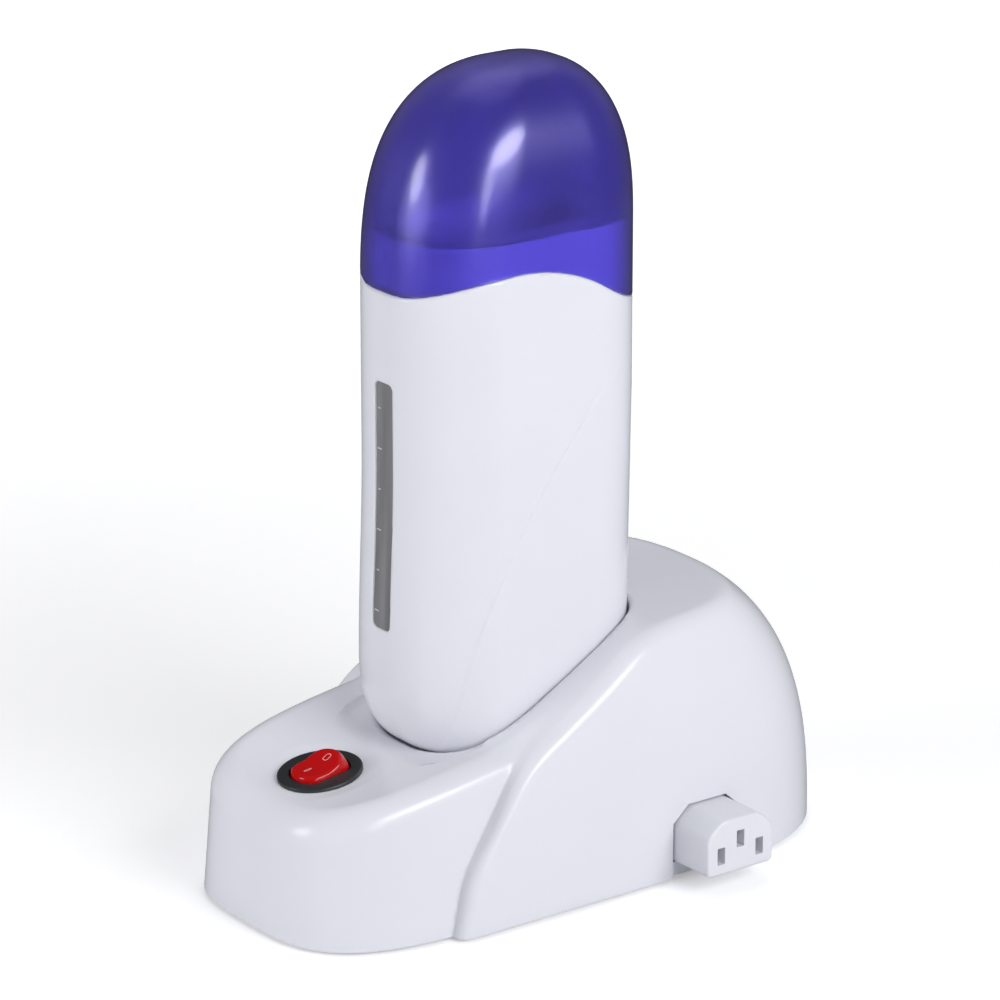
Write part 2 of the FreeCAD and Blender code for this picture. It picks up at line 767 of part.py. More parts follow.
def nose_section(z, inset):
    """Outline of the nose at a height: rounded front, straight back inside the hump."""
    draft = (z - mm("foot_stand")) * math.tan(math.radians(mm("nose_draft")))
    half_width = mm("nose_half_width") - inset - draft
    start = mm("nose_start")
    length = mm("nose_length") - inset - draft
    return long_outline(half_width, start + mm("nose_overlap"), start, -length, mm("nose_power"), z)


def nose_form(z_low, inset):
    """The nose under its sloping, hollow deck."""
    top = mm("deck_height") + 30.0
    block = Part.makeLoft([nose_section(z, inset) for z in (z_low, 0.5 * (z_low + top), top)], True, False)
    dish = mm("deck_dish_radius")
    deck = Part.makeCylinder(dish + inset, 2 * FAR, Vector(0, -FAR, dish), Vector(0, 1, 0))
    deck.rotate(Vector(0, 0, 0), Vector(1, 0, 0), mm("deck_slope"))
    deck.translate(Vector(0, mm("switch_y"), mm("deck_height")))
    return block.cut(deck)


def lies_across(face):
    """True for the faces of the side view and the deck: the round ones, and the flat ones along X."""
    surface = face.Surface
    if isinstance(surface, Part.Plane):
        return abs(surface.Axis.x) < 1e-6
    return isinstance(surface, Part.Cylinder)


def rim_edges(shape, above):
    """Edges over a height between the faces that lie across and the walls that meet them."""
    rim = []
    for edge in shape.Edges:
        across = [lies_across(face) for face in shape.ancestorsOfType(edge, Part.Face)]
        if edge.CenterOfMass.z > above and len(across) == 2 and across[0] != across[1]:
            rim.append(edge)
    return rim


def base_envelope(z_low, inset):
    """Hump and nose as one solid."""
    return hump_form(z_low, inset).fuse(nose_form(z_low, inset))


def grown_handset(gap, drop, z_high):
    """The handset's outline up to a height, grown sideways by a gap and let down by a drop."""
    return handset_loft(mm("handset_floor_z"), z_high + drop, -gap, drop)


# --------------------------------------------------------------------------------------------------
# Base: upper shell
# --------------------------------------------------------------------------------------------------
foot_stand = mm("foot_stand")
cover_bottom_z = size("foot_stand") + size("cover_recess")
cover_top_z = cover_bottom_z + size("cover_thick")
collar_top_z = cover_top_z + size("screw_collar_height")
cradle_top = mm("profile_ridge_z") + 10.0
ENDS_AND_SIDES = [(end, side) for end in ("front", "rear") for side in (-1, 1)]
SCREW_SPOTS = [(side * size(f"{end}_screw_x"), size(f"{end}_screw_y")) for end, side in ENDS_AND_SIDES]
FOOT_SPOTS = [(side * size(f"{end}_foot_x"), size(f"{end}_foot_y")) for end, side in ENDS_AND_SIDES]


def upper_shell_form():
    """Hollow base with the cradle's tub hanging in it and the screw bosses standing in it."""
    hump = hump_form(foot_stand, 0.0)
    hump = hump.makeFillet(mm("hump_edge_radius"), rim_edges(hump, foot_stand + 0.5))
    nose = nose_form(foot_stand, 0.0)
    nose = nose.makeFillet(mm("nose_edge_radius"), [edge for edge in rim_edges(nose, 10.0)
                                                    if edge.CenterOfMass.y < mm("nose_start")])
    outer = hump.fuse(nose)
    cavity = base_envelope(0.0, mm("shell_wall"))
    gap, drop = mm("cradle_gap"), mm("cradle_floor_gap")
    wall = mm("cradle_wall")
    tub = grown_handset(gap + wall, drop + wall, cradle_top)
    for x, y in SCREW_SPOTS:
        cavity = cavity.cut(cylinder(float(x), float(y), float(collar_top_z), cradle_top, mm("boss_radius")))
    shell = outer.cut(cavity.cut(tub))
    return one_solid(shell.cut(grown_handset(gap, drop, cradle_top)))


def tilted(sketch, y, z, angle):
    """Lays a sketch on the sloping deck."""
    sketch.AttachmentOffset = Placement(Vector(0, float(y), float(z)), Rotation(Vector(1, 0, 0), float(angle)))
    sketch.setExpression("AttachmentOffset.Base.y", y.text)
    sketch.setExpression("AttachmentOffset.Base.z", z.text)


def socket_outline(sketch, margin, line_z, foot=None):
    """Outline of an appliance socket, seen from the side: flat bottom, two slanted top corners."""
    centre = size("socket_y")
    left, right = centre - size("outlet_half_width") - margin, centre + size("outlet_half_width") + margin
    bottom = line_z - size("outlet_below") - margin if foot is None else foot
    top = line_z + size("outlet_above") + margin
    in_y, in_z = size("outlet_chamfer_y"), size("outlet_chamfer_z")
    corners = [(left, bottom), (right, bottom), (right, top - in_z)]
    corners += [(right - in_y, top), (left + in_y, top), (left, top - in_z)]
    draw_polygon(sketch, corners)


outlet_z = size("outlet_line_z")
inlet_z = size("inlet_line_z")
wall_x = size("hump_half_width")
plug_y = size("plate_centre_y")

base_upper_shell = new_body("base_upper_shell")
base_on_form(base_upper_shell, upper_shell_form())

seat = sketch_on(base_upper_shell, "XY_Plane", "bezel_seat_outline")
tilted(seat, size("switch_y"), size("deck_height"), size("deck_slope"))
draw_circle(seat, 0, 0, size("bezel_radius") + size("deck_seat_gap"))
add_pocket(base_upper_shell, seat, size("shell_wall"), "bezel_seat", backwards=True)

hole = sketch_on(base_upper_shell, "XY_Plane", "switch_hole_outline")
tilted(hole, size("switch_y"), size("deck_height"), size("deck_slope"))
draw_circle(hole, 0, 0, size("switch_barrel_radius") + size("switch_hole_gap"))
add_pocket(base_upper_shell, hole, size("shell_wall") * 4, "switch_hole", both_ways=True)

notch = sketch_on(base_upper_shell, "YZ_Plane", "outlet_notch_outline", wall_x - size("shell_wall") * 2)
socket_outline(notch, size("socket_notch_gap"), outlet_z, foot=size("foot_stand") - 1)
add_pocket(base_upper_shell, notch, size("shell_wall") * 3, "outlet_notch", backwards=True)

opening = sketch_on(base_upper_shell, "YZ_Plane", "inlet_opening_outline", size("shell_wall") * 2 - wall_x)
socket_outline(opening, size("inlet_cavity_gap") + size("inlet_wall") + size("part_gap"), inlet_z)
add_pocket(base_upper_shell, opening, size("shell_wall") * 3, "inlet_opening")

ports = sketch_on(base_upper_shell, "XY_Plane", "contact_ports_outline", size("handset_floor_z"))
for side in (-1, 1):
    draw_circle(ports, side * size("contact_half_pitch"), plug_y, size("plunger_radius") + size("plunger_fit"))
add_pocket(base_upper_shell, ports, size("cradle_floor_gap") + size("cradle_wall") * 1.5, "contact_ports")

bores = sketch_on(base_upper_shell, "XY_Plane", "boss_bores_outline", collar_top_z)
for x, y in SCREW_SPOTS:
    draw_circle(bores, x, y, size("boss_bore"))
add_pocket(base_upper_shell, bores, size("screw_length"), "boss_bores", backwards=True)

# --------------------------------------------------------------------------------------------------
# Base: bottom cover, feet and screws
# --------------------------------------------------------------------------------------------------
cover_form = base_envelope(0.0, mm("shell_wall") + mm("cover_gap"))
slab = box(-FAR, FAR, -FAR, FAR, float(cover_bottom_z), float(cover_top_z))
base_bottom_cover = new_body("base_bottom_cover")
base_on_form(base_bottom_cover, one_solid(cover_form.common(slab)))

collars = sketch_on(base_bottom_cover, "XY_Plane", "screw_collars_outline", cover_bottom_z)
for x, y in SCREW_SPOTS:
    draw_circle(collars, x, y, size("screw_head_radius") + size("collar_wall_thick"))
add_pad(base_bottom_cover, collars, collar_top_z - cover_bottom_z, "screw_collars")

seat_z = collar_top_z - size("collar_floor")
seats = sketch_on(base_bottom_cover, "XY_Plane", "screw_seats_outline", cover_bottom_z)
for x, y in SCREW_SPOTS:
    draw_circle(seats, x, y, size("screw_head_radius") + size("screw_gap"))
add_pocket(base_bottom_cover, seats, seat_z - cover_bottom_z, "screw_seats", backwards=True)

holes = sketch_on(base_bottom_cover, "XY_Plane", "screw_holes_outline", cover_bottom_z)
for x, y in SCREW_SPOTS:
    draw_circle(holes, x, y, size("screw_radius") + size("screw_gap"))
add_pocket(base_bottom_cover, holes, collar_top_z - cover_bottom_z, "screw_holes", backwards=True)

foot_seats = sketch_on(base_bottom_cover, "XY_Plane", "foot_seats_outline", cover_bottom_z)
for x, y in FOOT_SPOTS:
    draw_circle(foot_seats, x, y, size("foot_radius") + size("screw_gap"))
add_pocket(base_bottom_cover, foot_seats, size("foot_seat"), "foot_seats", backwards=True)

tab_inner = wall_x - size("shell_wall") + size("part_gap") / 2
tab_outer = wall_x - size("tab_recess")
tab_top = outlet_z - size("outlet_below") - size("part_gap") / 2
tab = sketch_on(base_bottom_cover, "XZ_Plane", "outlet_tab_outline", -size("socket_y"))
draw_polygon(tab, [
    (tab_inner - size("shell_wall"), cover_bottom_z),
    (tab_outer, cover_bottom_z),
    (tab_outer, tab_top),
    (tab_inner, tab_top),
    (tab_inner, cover_top_z),
    (tab_inner - size("shell_wall"), cover_top_z),
])
add_pad(base_bottom_cover, tab, size("outlet_half_width") * 2, "outlet_tab", both_ways=True)

rubber_feet = new_body("rubber_feet")
feet = sketch_on(rubber_feet, "XY_Plane", "feet_outline")
for x, y in FOOT_SPOTS:
    draw_circle(feet, x, y, size("foot_radius"))
add_pad(rubber_feet, feet, cover_bottom_z + size("foot_seat"), "feet")
add_chamfer(rubber_feet, size("foot_chamfer"), lambda edge: edge.CenterOfMass.z < 0.01, "foot_edges")

bottom_cover_screws = new_body("bottom_cover_screws")
heads = sketch_on(bottom_cover_screws, "XY_Plane", "screw_heads_outline", seat_z - size("screw_head_height"))
for x, y in SCREW_SPOTS:
    draw_circle(heads, x, y, size("screw_head_radius"))
add_pad(bottom_cover_screws, heads, size("screw_head_height"), "screw_heads")
shanks = sketch_on(bottom_cover_screws, "XY_Plane", "screw_shanks_outline", seat_z)
for x, y in SCREW_SPOTS:
    draw_circle(shanks, x, y, size("screw_radius"))
add_pad(bottom_cover_screws, shanks, size("screw_length"), "screw_shanks")
drives = sketch_on(bottom_cover_screws, "XY_Plane", "screw_drives_outline", seat_z - size("screw_head_height"))
for x, y in SCREW_SPOTS:
    draw_cross(drives, x, y, size("screw_drive_length") / 2, size("screw_drive_width") / 2)
add_pocket(bottom_cover_screws, drives, size("screw_drive_depth"), "screw_drives", backwards=True)

# --------------------------------------------------------------------------------------------------
# Base: rocker switch, drawn upright about the barrel's axis and then laid on the deck
# --------------------------------------------------------------------------------------------------
rocker_room = size("rocker_half_width") + size("rocker_gap")
rocker_hole = size("rocker_ball_radius") + size("rocker_gap")
barrel_floor = size("switch_floor")

switch_housing = new_body("switch_housing")
bezel = sketch_on(switch_housing, "XY_Plane", "bezel_outline")
draw_circle(bezel, 0, 0, size("bezel_radius"))
add_pad(switch_housing, bezel, size("bezel_thick"), "bezel")
add_fillet(switch_housing, size("bezel_round"), lambda edge: edge.CenterOfMass.z > 0.5 * mm("bezel_thick"),
           "bezel_rim")
barrel = sketch_on(switch_housing, "XY_Plane", "barrel_outline")
draw_circle(barrel, 0, 0, size("switch_barrel_radius"))
add_pad(switch_housing, barrel, size("switch_depth"), "barrel", backwards=True)
mouth = sketch_on(switch_housing, "XY_Plane", "rocker_opening_outline", size("bezel_thick"))
draw_flat_sided_circle(mouth, rocker_hole, rocker_room)
mouth_depth = size("bezel_thick") + size("switch_depth") - barrel_floor
add_pocket(switch_housing, mouth, mouth_depth, "rocker_opening")
pivots = sketch_on(switch_housing, "YZ_Plane", "pivot_bores_outline")
draw_circle(pivots, 0, -size("rocker_axis_drop"), size("rocker_pin_radius") + size("pin_gap"))
pivot_reach = (rocker_room + size("rocker_pin_reach")) * 2
add_pocket(switch_housing, pivots, pivot_reach, "pivot_bores", both_ways=True)
slots = sketch_on(switch_housing, "XY_Plane", "blade_slots_outline", barrel_floor - size("switch_depth"))
half_blade, half_thick = size("blade_width") / 2, size("blade_thick") / 2
for step in (-1, 0, 1):
    spot = step * size("blade_pitch")
    gap = size("pin_gap")
    reach = half_thick + gap
    draw_rectangle(slots, -half_blade - gap, half_blade + gap, spot - reach, spot + reach)
add_pocket(switch_housing, slots, barrel_floor, "blade_slots")

switch_terminals = new_body("switch_terminals")
blades = sketch_on(switch_terminals, "XY_Plane", "blades_outline", barrel_floor - size("switch_depth"))
for step in (-1, 0, 1):
    spot = step * size("blade_pitch")
    draw_rectangle(blades, -half_blade, half_blade, spot - half_thick, spot + half_thick)
add_pad(switch_terminals, blades, barrel_floor + size("blade_length"), "blades", backwards=True)
eyes = sketch_on(switch_terminals, "XZ_Plane", "blade_eyes_outline")
draw_circle(eyes, 0, -size("switch_depth") - size("blade_length") * 0.6, size("blade_eye_radius"))
add_pocket(switch_terminals, eyes, size("blade_pitch") * 4, "blade_eyes", both_ways=True)

rocker_button = new_body("rocker_button")
ball = rocker_button.newObject("PartDesign::AdditiveSphere", "rocker_ball")
ball.Radius = mm("rocker_ball_radius")
ball.setExpression("Radius", "Sizes.rocker_ball_radius")
doc.recompute()
wide = size("rocker_ball_radius") * 2
for name, side in (("left_cheek", -1), ("right_cheek", 1)):
    cheek = sketch_on(rocker_button, "YZ_Plane", f"{name}_outline", side * size("rocker_half_width"))
    draw_rectangle(cheek, -wide, wide, -wide, wide)
    add_pocket(rocker_button, cheek, size("rocker_ball_radius"), name, backwards=side > 0)
facets = sketch_on(rocker_button, "YZ_Plane", "facets_outline")
rise = wide * math.tan(math.radians(mm("rocker_facet_angle")))
draw_polygon(facets, [
    (0, size("rocker_waist")), (wide, size("rocker_waist") + rise), (wide, wide), (-wide, wide),
    (-wide, size("rocker_waist") + rise),
])
add_pocket(rocker_button, facets, wide * 2, "facets", both_ways=True)
keel = sketch_on(rocker_button, "YZ_Plane", "keel_outline")
draw_rectangle(keel, -wide, wide, -wide, -size("rocker_keel"))
add_pocket(rocker_button, keel, wide * 2, "keel", both_ways=True)
pin = sketch_on(rocker_button, "YZ_Plane", "pivot_pin_outline")
draw_circle(pin, 0, 0, size("rocker_pin_radius"))
add_pad(rocker_button, pin, pivot_reach - size("rocker_gap"), "pivot_pin", both_ways=True)

deck_turn = mm("deck_slope")
for body in (switch_housing, switch_terminals):
    place(body, y=size("switch_y"), z=size("deck_height"), axis=Vector(1, 0, 0), angle=deck_turn)
slope = math.radians(deck_turn)
pivot_y = size("switch_y") + size("rocker_axis_drop") * math.sin(slope)
pivot_z = size("deck_height") - size("rocker_axis_drop") * math.cos(slope)
place(rocker_button, y=pivot_y, z=pivot_z, axis=Vector(1, 0, 0), angle=deck_turn + 0.5 * mm("rocker_throw"))

# --------------------------------------------------------------------------------------------------
# Base: chain outlet and mains inlet
# --------------------------------------------------------------------------------------------------
pin_gap = size("pin_gap")
slot_end_x = wall_x + size("outlet_reach") - size("slot_depth")
block_back_x = slot_end_x - size("outlet_back")
flange_x = wall_x - size("shell_wall") - size("flange_gap")


def contact_spots(line_z):
    """Live, earth and neutral contacts as (Y, Z)."""
    half = size("socket_pitch") / 2
    middle = size("socket_y")
    return [(middle - half, line_z), (middle, line_z + size("earth_rise")), (middle + half, line_z)]


def draw_slots(sketch, line_z, half_y, half_z):
    for y, z in contact_spots(line_z):
        draw_rectangle(sketch, y - half_y, y + half_y, z - half_z, z + half_z)


outlet_block = new_body("outlet_block")
outline = sketch_on(outlet_block, "YZ_Plane", "outlet_outline", block_back_x)
socket_outline(outline, size("zero_margin"), outlet_z)
add_pad(outlet_block, outline, wall_x + size("outlet_reach") - block_back_x, "outlet_body")
add_fillet(outlet_block, size("outlet_edge_round"), runs_along_x, "outlet_edges")
flange = sketch_on(outlet_block, "YZ_Plane", "outlet_flange_outline", flange_x)
socket_outline(flange, size("flange_margin"), outlet_z, foot=cover_top_z)
add_pad(outlet_block, flange, size("flange_thick"), "outlet_flange", backwards=True)
mouths = sketch_on(outlet_block, "YZ_Plane", "outlet_slots_outline", wall_x + size("outlet_reach"))
draw_slots(mouths, outlet_z, size("slot_width") / 2, size("slot_height") / 2)
add_pocket(outlet_block, mouths, size("slot_depth"), "outlet_slots")
strip_y, strip_z = size("strip_thick") / 2, size("strip_height") / 2
ducts = sketch_on(outlet_block, "YZ_Plane", "outlet_ducts_outline", block_back_x)
draw_slots(ducts, outlet_z, strip_y + pin_gap, strip_z + pin_gap)
add_pocket(outlet_block, ducts, slot_end_x - block_back_x, "outlet_ducts", backwards=True)

outlet_contacts = new_body("outlet_contacts")
strips = sketch_on(outlet_contacts, "YZ_Plane", "strips_outline", slot_end_x + size("strip_entry"))
draw_slots(strips, outlet_z, strip_y, strip_z)
strip_length = slot_end_x + size("strip_entry") - block_back_x + size("tail_length")
add_pad(outlet_contacts, strips, strip_length, "strips", backwards=True)

inlet_face_x = size("inlet_face_recess") - wall_x
inlet_floor_x = inlet_face_x + size("inlet_depth")
inlet_back_x = inlet_floor_x + size("inlet_back")
inlet_block = new_body("inlet_block")
outline = sketch_on(inlet_block, "YZ_Plane", "inlet_outline", inlet_face_x)
socket_outline(outline, size("inlet_cavity_gap") + size("inlet_wall"), inlet_z)
add_pad(inlet_block, outline, inlet_back_x - inlet_face_x, "inlet_body")
flange = sketch_on(inlet_block, "YZ_Plane", "inlet_flange_outline", -flange_x)
inlet_margin = size("inlet_cavity_gap") + size("inlet_wall") + size("flange_margin")
socket_outline(flange, inlet_margin, inlet_z, foot=cover_top_z + size("part_gap"))
add_pad(inlet_block, flange, size("flange_thick"), "inlet_flange")
recess = sketch_on(inlet_block, "YZ_Plane", "inlet_recess_outline", inlet_face_x)
socket_outline(recess, size("inlet_cavity_gap"), inlet_z)
add_pocket(inlet_block, recess, size("inlet_depth"), "inlet_recess", backwards=True)
half_pin_y, half_pin_z = size("inlet_pin_thick") / 2, size("inlet_pin_height") / 2
ducts = sketch_on(inlet_block, "YZ_Plane", "inlet_ducts_outline", inlet_floor_x)
draw_slots(ducts, inlet_z, half_pin_y + pin_gap, half_pin_z + pin_gap)
add_pocket(inlet_block, ducts, size("inlet_back"), "inlet_ducts", backwards=True)

inlet_pins = new_body("inlet_pins")
pins = sketch_on(inlet_pins, "YZ_Plane", "inlet_pins_outline", inlet_floor_x - size("inlet_pin_length"))
draw_slots(pins, inlet_z, half_pin_y, half_pin_z)
pin_run = size("inlet_pin_length") + size("inlet_back") + size("tail_length")
add_pad(inlet_pins, pins, pin_run, "inlet_pin_bars")

# --------------------------------------------------------------------------------------------------
# Base: sprung contacts under the cradle's floor
# --------------------------------------------------------------------------------------------------
tub_floor_z = size("handset_floor_z") - size("cradle_floor_gap") - size("cradle_wall")
carrier_bottom_z = tub_floor_z - size("carrier_height")
well_floor_z = carrier_bottom_z + size("carrier_floor")
head_top_z = tub_floor_z - size("seat_gap")
head_bottom_z = head_top_z - size("plunger_head_height")
pad_bottom_z = size("handset_floor_z") + size("pad_recess")
spring_radius = size("plunger_head_radius") - size("spring_wire")

contact_carrier = new_body("contact_carrier")
block = sketch_on(contact_carrier, "XY_Plane", "carrier_outline", carrier_bottom_z)
half_x, half_y = size("carrier_half_width"), size("carrier_half_depth")
draw_rounded_rectangle(block, -half_x, half_x, plug_y - half_y, plug_y + half_y, size("carrier_corner"))
add_pad(contact_carrier, block, size("carrier_height"), "carrier")
wells = sketch_on(contact_carrier, "XY_Plane", "wells_outline", tub_floor_z)
for side in (-1, 1):
    well_radius = size("plunger_head_radius") + size("screw_gap")
    draw_circle(wells, side * size("contact_half_pitch"), plug_y, well_radius)
add_pocket(contact_carrier, wells, tub_floor_z - well_floor_z, "wells")

for name, side in (("left", -1), ("right", 1)):
    spot = side * size("contact_half_pitch")
    plunger = new_body(f"contact_plunger_{name}")
    head = sketch_on(plunger, "XY_Plane", f"plunger_head_outline_{name}", head_bottom_z)
    draw_circle(head, 0, 0, size("plunger_head_radius"))
    add_pad(plunger, head, size("plunger_head_height"), f"plunger_head_{name}")
    stem = sketch_on(plunger, "XY_Plane", f"plunger_stem_outline_{name}", head_top_z)
    draw_circle(stem, 0, 0, size("plunger_radius"))
    add_pad(plunger, stem, pad_bottom_z - size("seat_gap") - head_top_z, f"plunger_stem_{name}")
    tip_z = float(pad_bottom_z) - mm("seat_gap")
    add_fillet(plunger, size("plunger_round"), lambda edge: abs(edge.CenterOfMass.z - tip_z) < 0.01,
               f"plunger_tip_{name}")
    place(plunger, x=spot, y=plug_y)

    spring = new_body(f"contact_spring_{name}")
    wire = sketch_on(spring, "XZ_Plane", f"spring_wire_{name}")
    low = well_floor_z + size("seat_gap")
    half_wire = size("spring_wire") / 2
    draw_rectangle(wire, spring_radius - half_wire, spring_radius + half_wire, low, low + size("spring_wire"))
    helix = spring.newObject("PartDesign::AdditiveHelix", f"spring_coil_{name}")
    helix.Profile = wire
    helix.ReferenceAxis = (wire, ["V_Axis"])
    helix.Mode = 0
    coil_height = head_bottom_z - size("seat_gap") - low - size("spring_wire")
    helix.Height = float(coil_height)
    helix.setExpression("Height", coil_height.text)
    coil_pitch = coil_height / mm("spring_turns")
    helix.Pitch = float(coil_pitch)
    helix.setExpression("Pitch", coil_pitch.text)
    doc.recompute()
    place(spring, x=spot, y=plug_y)

# --------------------------------------------------------------------------------------------------
# Handset: shell, window and the ring under the cap
# --------------------------------------------------------------------------------------------------
cap_top = mm("cap_apex_z")
wall = mm("handset_wall")
above_wave = wave_cutter(0.0)
handset_shell = new_body("handset_shell")
solid_handset = handset_loft(mm("handset_floor_z"), cap_top, 0.0)
hollow = handset_loft(mm("handset_floor_z"), cap_top - 2 * wall, wall, -wall)
base_on_form(handset_shell, one_solid(solid_handset.cut(hollow).cut(above_wave)))
window_plane = size("handset_half_depth") / 2 - size("handset_centre_y")
window = sketch_on(handset_shell, "XZ_Plane", "window_outline", window_plane)
half = size("window_half_width")
draw_rounded_rectangle(window, -half, half, size("window_bottom_z"), size("window_top_z"),
                       size("window_corner"))
add_pocket(handset_shell, window, size("handset_half_depth"), "window", backwards=True)
door_left, door_right = -size("door_half_width"), size("door_half_width")
door_front, door_rear = plug_y - size("door_half_depth"), plug_y + size("door_half_depth")
doorway_plane = size("handset_floor_z") + size("handset_wall") * 2
doorway = sketch_on(handset_shell, "XY_Plane", "doorway_outline", doorway_plane)
draw_rounded_rectangle(doorway, door_left, door_right, door_front, door_rear, size("door_corner"))
add_pocket(handset_shell, doorway, size("handset_wall") * 3, "doorway")


def front_slice(inset_out, inset_in, half_width, z_low, z_high):
    """A piece of the handset's front wall between two insets."""
    outer = handset_loft(z_low - 10, z_high + 10, inset_out)
    inner = handset_loft(z_low - 15, z_high + 15, inset_in)
    back_y = mm("handset_centre_y") - 0.5 * mm("handset_half_depth")
    front = box(-half_width, half_width, -FAR, back_y, z_low, z_high)
    return outer.cut(inner).common(front)


lens_gap = mm("window_gap")
lens_half = mm("window_half_width")
lens_low, lens_high = mm("window_bottom_z"), mm("window_top_z")
lens_back = wall + mm("lens_thick")
pane = front_slice(mm("window_recess"), lens_back, lens_half - lens_gap, lens_low + lens_gap, lens_high - lens_gap)
corner = mm("window_corner")
pane = pane.common(slot_prism(lens_half - lens_gap, lens_low + lens_gap, lens_high - lens_gap,
                              corner - lens_gap))
lip = mm("lens_flange")
flange = front_slice(wall + lens_gap, lens_back, lens_half + lip, lens_low - lip, lens_high + lip)
new_feature("window_lens", one_solid(pane.fuse(flange)))

collar_low, collar_high = mm("collar_rim_z") - mm("collar_depth"), mm("collar_rim_z")
chamber_collar = new_body("chamber_collar")
ring = handset_loft(collar_low, collar_high, mm("collar_inset"))
bore = handset_loft(collar_low - 1, collar_high - mm("collar_flange"), mm("collar_inset") + mm("collar_wall"))
base_on_form(chamber_collar, one_solid(ring.cut(bore)))
centre_y = size("handset_centre_y")
mouth = sketch_on(chamber_collar, "XY_Plane", "chamber_mouth_outline", size("collar_rim_z"))
mouth_x, mouth_y = size("mouth_half_width"), size("mouth_half_depth")
draw_rounded_rectangle(mouth, -mouth_x, mouth_x, centre_y - mouth_y, centre_y + mouth_y, size("mouth_corner"))
add_pocket(chamber_collar, mouth, size("collar_flange") * 1.5, "chamber_mouth")

cap_shell = new_body("cap_shell")
cap_form = handset_loft(mm("handset_floor_z"), cap_top, 0.0).common(wave_cutter(mm("part_gap")))
cap_hollow = handset_loft(mm("handset_floor_z"), cap_top - mm("cap_wall"), mm("cap_wall"))
base_on_form(cap_shell, one_solid(cap_form.cut(cap_hollow)))

# --------------------------------------------------------------------------------------------------
# Handset: cartridge chamber and heaters
# --------------------------------------------------------------------------------------------------
chamber_x, chamber_y = size("chamber_half_width"), size("chamber_half_depth")
thick = size("chamber_wall")
sleeve_bottom_z = size("chamber_floor_z") - size("chamber_floor_thick")
sleeve_top_z = size("collar_rim_z") - size("collar_flange")
door_top_z = size("handset_floor_z") + size("door_thick")
DOOR_SCREWS = [plug_y - size("door_screw_y"), plug_y + size("door_screw_y")]

cartridge_sleeve = new_body("cartridge_sleeve")
outline = sketch_on(cartridge_sleeve, "XY_Plane", "sleeve_outline", sleeve_bottom_z)
sleeve_x, sleeve_y = chamber_x + thick, chamber_y + thick
draw_rounded_rectangle(outline, -sleeve_x, sleeve_x, centre_y - sleeve_y, centre_y + sleeve_y,
                       size("chamber_corner") + thick)
add_pad(cartridge_sleeve, outline, sleeve_top_z - sleeve_bottom_z, "sleeve")
posts = sketch_on(cartridge_sleeve, "XY_Plane", "posts_outline", sleeve_bottom_z)
for y in DOOR_SCREWS:
    draw_circle(posts, 0, y, size("post_radius"))
add_pad(cartridge_sleeve, posts, sleeve_bottom_z - door_top_z, "posts", backwards=True)
chamber = sketch_on(cartridge_sleeve, "XY_Plane", "chamber_outline", sleeve_top_z)
draw_rounded_rectangle(chamber, -chamber_x, chamber_x, centre_y - chamber_y, centre_y + chamber_y,
                       size("chamber_corner"))
add_pocket(cartridge_sleeve, chamber, sleeve_top_z - size("chamber_floor_z"), "chamber")
bores = sketch_on(cartridge_sleeve, "XY_Plane", "post_bores_outline", door_top_z)
for y in DOOR_SCREWS:
    draw_circle(bores, 0, y, size("door_screw_radius") + size("pin_gap"))
bore_depth = sleeve_bottom_z - door_top_z + size("chamber_floor_thick") / 2
add_pocket(cartridge_sleeve, bores, bore_depth, "post_bores", backwards=True)
heater_y, heater_gap = size("heater_half_depth"), size("heater_gap")
windows = sketch_on(cartridge_sleeve, "YZ_Plane", "heater_windows_outline")
draw_rectangle(windows, centre_y - heater_y - heater_gap, centre_y + heater_y + heater_gap,
               size("heater_bottom_z") - heater_gap, size("heater_top_z") + heater_gap)
add_pocket(cartridge_sleeve, windows, sleeve_x * 4, "heater_windows", both_ways=True)
fuse_y = centre_y + size("fuse_offset")
fuse_z = (size("heater_bottom_z") + size("heater_top_z")) / 2
fuse_half = size("fuse_length") / 2
window = sketch_on(cartridge_sleeve, "YZ_Plane", "fuse_window_outline", chamber_x / 2)
fuse_side = size("fuse_radius") + heater_gap
draw_rectangle(window, fuse_y - fuse_side, fuse_y + fuse_side, fuse_z - fuse_half - heater_gap,
               fuse_z + fuse_half + heater_gap)
add_pocket(cartridge_sleeve, window, chamber_x, "fuse_window", backwards=True)

for name, side in (("left", -1), ("right", 1)):
    plate = new_body(f"heat_plate_{name}")
    sheet_outline = sketch_on(plate, "YZ_Plane", f"heat_plate_outline_{name}", side * chamber_x)
    plate_y = size("plate_half_depth")
    draw_rounded_rectangle(sheet_outline, centre_y - plate_y, centre_y + plate_y, size("plate_bottom_z"),
                           size("plate_top_z"), size("plate_corner"))
    add_pad(plate, sheet_outline, size("plate_thick"), f"heat_plate_sheet_{name}", backwards=side > 0)

seat = size("seat_gap")
ptc_heaters = new_body("ptc_heaters")
slabs = sketch_on(ptc_heaters, "XY_Plane", "slabs_outline", size("heater_bottom_z"))
near_x, far_x = chamber_x + seat, chamber_x + seat + size("heater_thick")
for left, right in ((-far_x, -near_x), (near_x, far_x)):
    draw_rectangle(slabs, left, right, centre_y - heater_y, centre_y + heater_y)
add_pad(ptc_heaters, slabs, size("heater_top_z") - size("heater_bottom_z"), "slabs")

thermal_fuse = new_body("thermal_fuse")
barrel = sketch_on(thermal_fuse, "XY_Plane", "fuse_outline", fuse_z - fuse_half)
draw_circle(barrel, near_x + size("fuse_radius"), fuse_y, size("fuse_radius"))
add_pad(thermal_fuse, barrel, size("fuse_length"), "fuse")

